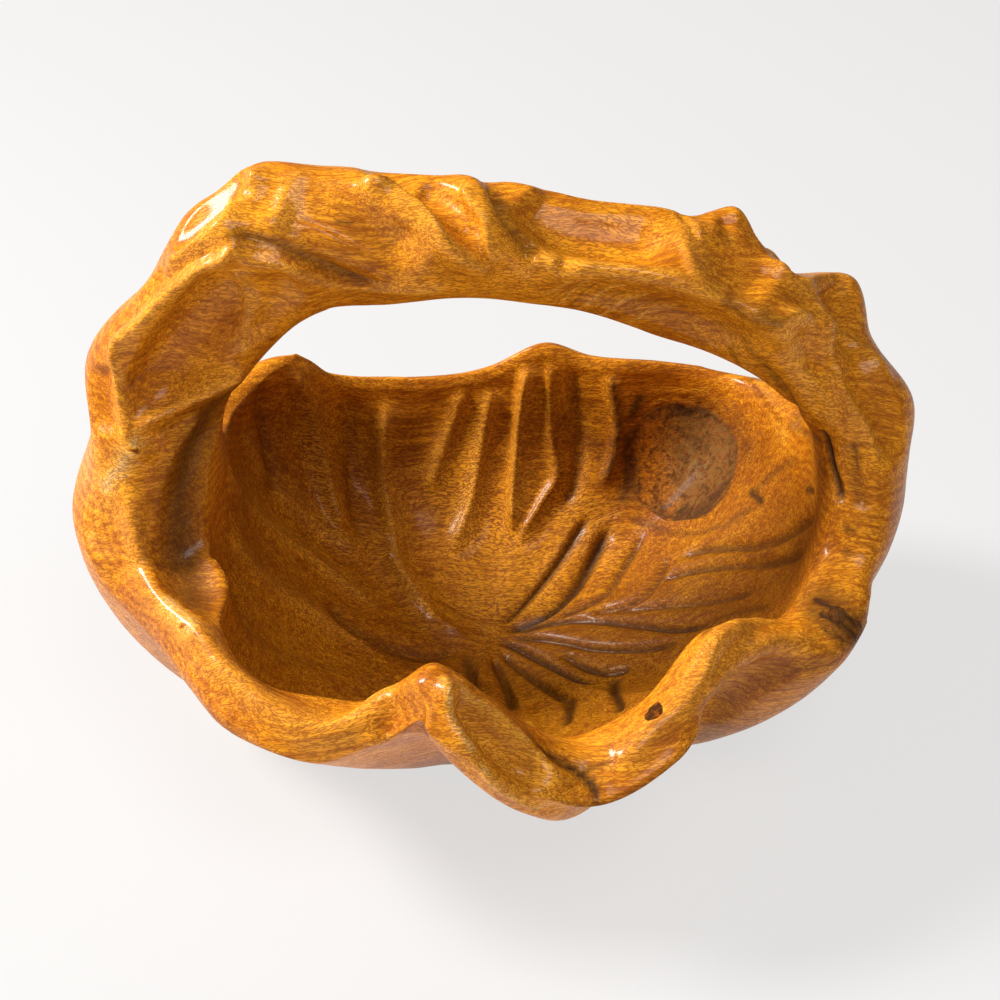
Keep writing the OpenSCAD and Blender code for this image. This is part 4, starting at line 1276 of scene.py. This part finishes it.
def resin_finish(name, looks):
    """Dark filling in a small pit, glossy and clouded."""
    f = Finish(name)
    clot = f.noise(f.node("ShaderNodeTexCoord", output="Object"), 420.0, 3.0, 0.6)
    f.set("Base Color", f.mixed(looks.marks_and_painted_light, looks.dark_wood, clot.step(0.45, 0.7)))
    f.set("Roughness", 0.12 + clot * 0.3)
    f.lacquer(looks.lacquer, clot, RESIN_RELIEF)
    return f.material


def stage_finish():
    """Pale paint that the camera and reflections see as nearly plain white."""
    f = Finish("pale_floor")
    f.set("Base Color", STAGE_COLOUR)
    f.set("Roughness", STAGE_ROUGHNESS)
    seen = f.node("ShaderNodeLightPath", output="Is Camera Ray")
    seen = seen + f.node("ShaderNodeLightPath", output="Is Glossy Ray")
    plain = f.node("ShaderNodeEmission", STAGE_SHOWN, 1.0)
    lit = Value(f, f.shader.outputs["BSDF"])
    surface = f.node("ShaderNodeMixShader", seen * STAGE_WHITE, lit, plain)
    f.put(f.tree.nodes["Material Output"].inputs["Surface"], surface)
    return f.material


class BowlSizes(PropertyGroup):
    """Sizes of the carving"""

    hollow_depth: FloatProperty(
        name="Outside hollows", description="Depth of the hollows round the outside",
        default=0.004, min=0, max=0.006, unit="LENGTH",
    )
    flute_depth: FloatProperty(
        name="Front flutes", description="Depth of the flutes inside the front wall",
        default=0.0024, min=0, max=0.004, unit="LENGTH",
    )


def colour_property(name, description, default):
    return FloatVectorProperty(
        name=name, description=description, default=default, subtype="COLOR", size=3, min=0, max=1,
    )


class BowlLooks(PropertyGroup):
    """Colours and lacquer of the wood"""

    golden_wood: colour_property("Golden wood", "Palest of the wood's main tones", (0.78, 0.292, 0.01))
    amber_wood: colour_property("Amber wood", "Main tone of the wood", (0.47, 0.136, 0.002))
    dark_wood: colour_property("Dark wood", "Darkest grain", (0.23, 0.054, 0.002))
    # pale colour of the marks: worn ridges and flame streaks, and painted highlights on the crests and
    # painted light on the tongue
    pale_wood_and_highlight: colour_property("Pale wood", "Worn ridges and flame streaks", (0.92, 0.45, 0.06))
    worn_wood: colour_property("Worn wood", "Wood that hands have worn bare", (0.66, 0.4, 0.16))
    pore: colour_property("Pores", "Short dark pores", (0.2, 0.042, 0.0008))
    # dark colour of the marks: dirt in the cuts, cracks and resin, and painted shade too
    marks_and_painted_light: colour_property("Stain", "Dirt in the cuts, cracks and resin", (0.05, 0.016, 0.003))
    # painted shade that darkens the hollow
    hollow_painted_shade: colour_property("Inside tint", "Darker tone of the hollow", (0.56, 0.58, 0.45))
    knot_rust: colour_property("Knot rust", "Rust red side of the knot", (0.42, 0.13, 0.003))
    knot_grey: colour_property("Knot grey", "Grey brown side of the knot", (0.17, 0.08, 0.014))
    knot_pale: colour_property("Knot middle", "Pale middle of the knot", (0.27, 0.172, 0.062))
    lacquer: FloatProperty(
        name="Lacquer", description="Weight of the clear coat", default=0.2, min=0, max=1,
    )


class BASKET_OT_bowl(Operator):
    """Carve the bowl, with a seat for each root of the handle and a pocket for each knot"""

    bl_idname = "basket.bowl"
    bl_label = "Carve the bowl"

    def execute(self, context):
        part = skin_part(the_skin(context.scene), (OUTSIDE, RIM, INSIDE, BARK, KNOT, RIM_KNOT, PIT))
        sink_pockets(part)
        bore_seats(part, True)
        piece = new_piece("carved_bowl", part, "bowl_wood", "bowl")
        piece.data.materials.append(wood_finish("bowl_wood", context.scene.bowl_looks))
        return {"FINISHED"}


class BASKET_OT_handle(Operator):
    """Carve the hoop handle that stands on the bowl's two seats"""

    bl_idname = "basket.handle"
    bl_label = "Carve the handle"

    def execute(self, context):
        part = skin_part(the_skin(context.scene), (HANDLE,))
        bore_seats(part, False)
        piece = new_piece("carved_handle", part, "handle_wood", "handle")
        piece.data.materials.append(wood_finish("handle_wood", context.scene.bowl_looks, 0.04))
        return {"FINISHED"}


class BASKET_OT_knots(Operator):
    """Set the knots, the bark round the large one and the filling of the pit in their pockets"""

    bl_idname = "basket.knots"
    bl_label = "Set the knots"

    def execute(self, context):
        skin = the_skin(context.scene)
        looks = context.scene.bowl_looks
        kinds = (
            (KNOT, "wall_knot", "knot_wood"),
            (BARK, "knot_bark", "bark"),
            (RIM_KNOT, "rim_knot", "knot_wood"),
            (PIT, "pit_filler", "resin"),
        )
        for tag, node, slot in kinds:
            part = skin_part(skin, (tag,))
            middle = sum((f.calc_center_median() for f in part.faces), Vector()) / len(part.faces)
            push_in(part, part.faces[:], PLUG_DEPTH[tag], True)
            piece = new_piece(f"set_{node}", part, slot, node)
            if slot == "resin":
                finish = resin_finish("pit_resin", looks)
            else:
                finish = knot_finish(f"{node}_finish", looks, middle, KNOT_SIZE[tag] * MM)
            piece.data.materials.append(finish)
        return {"FINISHED"}


class BASKET_OT_dowels(Operator):
    """Give the two dowels in the joints their plain wood"""

    bl_idname = "basket.dowels"
    bl_label = "Finish the dowels"

    def execute(self, context):
        finish = wood_finish("dowel_wood", context.scene.bowl_looks, 0.12)
        for node in ("left_dowel", "right_dowel"):
            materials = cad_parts[node].data.materials
            materials.clear()
            materials.append(finish)
        return {"FINISHED"}


class BASKET_OT_stage(Operator):
    """Set up the floor, the light and the camera"""

    bl_idname = "basket.stage"
    bl_label = "Set the stage"

    def execute(self, context):
        scene = context.scene
        scene.view_settings.view_transform = "Standard"
        bm = bmesh.new()
        bmesh.ops.create_grid(bm, x_segments=8, y_segments=8, size=STAGE_SIZE)
        floor = add_object("floor", mesh_of("floor", bm))
        floor.data.materials.append(stage_finish())
        scene.world = bpy.data.worlds.new("studio")
        scene.world.use_nodes = True
        around = scene.world.node_tree.nodes["Background"].inputs
        around["Color"].default_value = (1, 1, 1, 1)
        around["Strength"].default_value = WORLD_LIGHT
        for name, place, size, power in LAMPS:
            light = bpy.data.lights.new(name, "AREA")
            light.size = size
            light.energy = power
            lamp = add_object(name, light)
            lamp.location = place
            lamp.rotation_euler = (LAMP_TARGET - lamp.location).to_track_quat("-Z", "Y").to_euler()
        camera = bpy.data.cameras.new("camera")
        camera.sensor_width = SENSOR
        camera.sensor_fit = "HORIZONTAL"
        camera.lens = VIEW_FOCAL / VIEW_PIXELS * SENSOR
        view = add_object("camera", camera)
        view.location = camera_place() * MM
        view.rotation_euler = (math.pi / 2 - VIEW_RISE, 0, 0)
        scene.camera = view
        return {"FINISHED"}


class BASKET_PT_panel(Panel):
    """Sizes, colours and steps of the basket bowl"""

    bl_idname = "BASKET_PT_panel"
    bl_label = "Basket bowl"
    bl_space_type = "VIEW_3D"
    bl_region_type = "UI"
    bl_category = "Basket bowl"

    def draw(self, context):
        for group in (context.scene.bowl_sizes, context.scene.bowl_looks):
            for name in group.__annotations__:
                self.layout.prop(group, name)
        for operator in OPERATORS:
            self.layout.operator(operator.bl_idname)


OPERATORS = (BASKET_OT_stage, BASKET_OT_bowl, BASKET_OT_handle, BASKET_OT_knots, BASKET_OT_dowels)
CLASSES = (BowlSizes, BowlLooks, *OPERATORS, BASKET_PT_panel)


def register():
    for cls in CLASSES:
        bpy.utils.register_class(cls)
    bpy.types.Scene.bowl_sizes = PointerProperty(type=BowlSizes)
    bpy.types.Scene.bowl_looks = PointerProperty(type=BowlLooks)


def unregister():
    del bpy.types.Scene.bowl_looks
    del bpy.types.Scene.bowl_sizes
    for cls in reversed(CLASSES):
        bpy.utils.unregister_class(cls)


def main():
    register()
    bpy.ops.basket.stage()
    bpy.ops.basket.bowl()
    bpy.ops.basket.handle()
    bpy.ops.basket.knots()
    bpy.ops.basket.dowels()


if __name__ == "__main__":
    main()
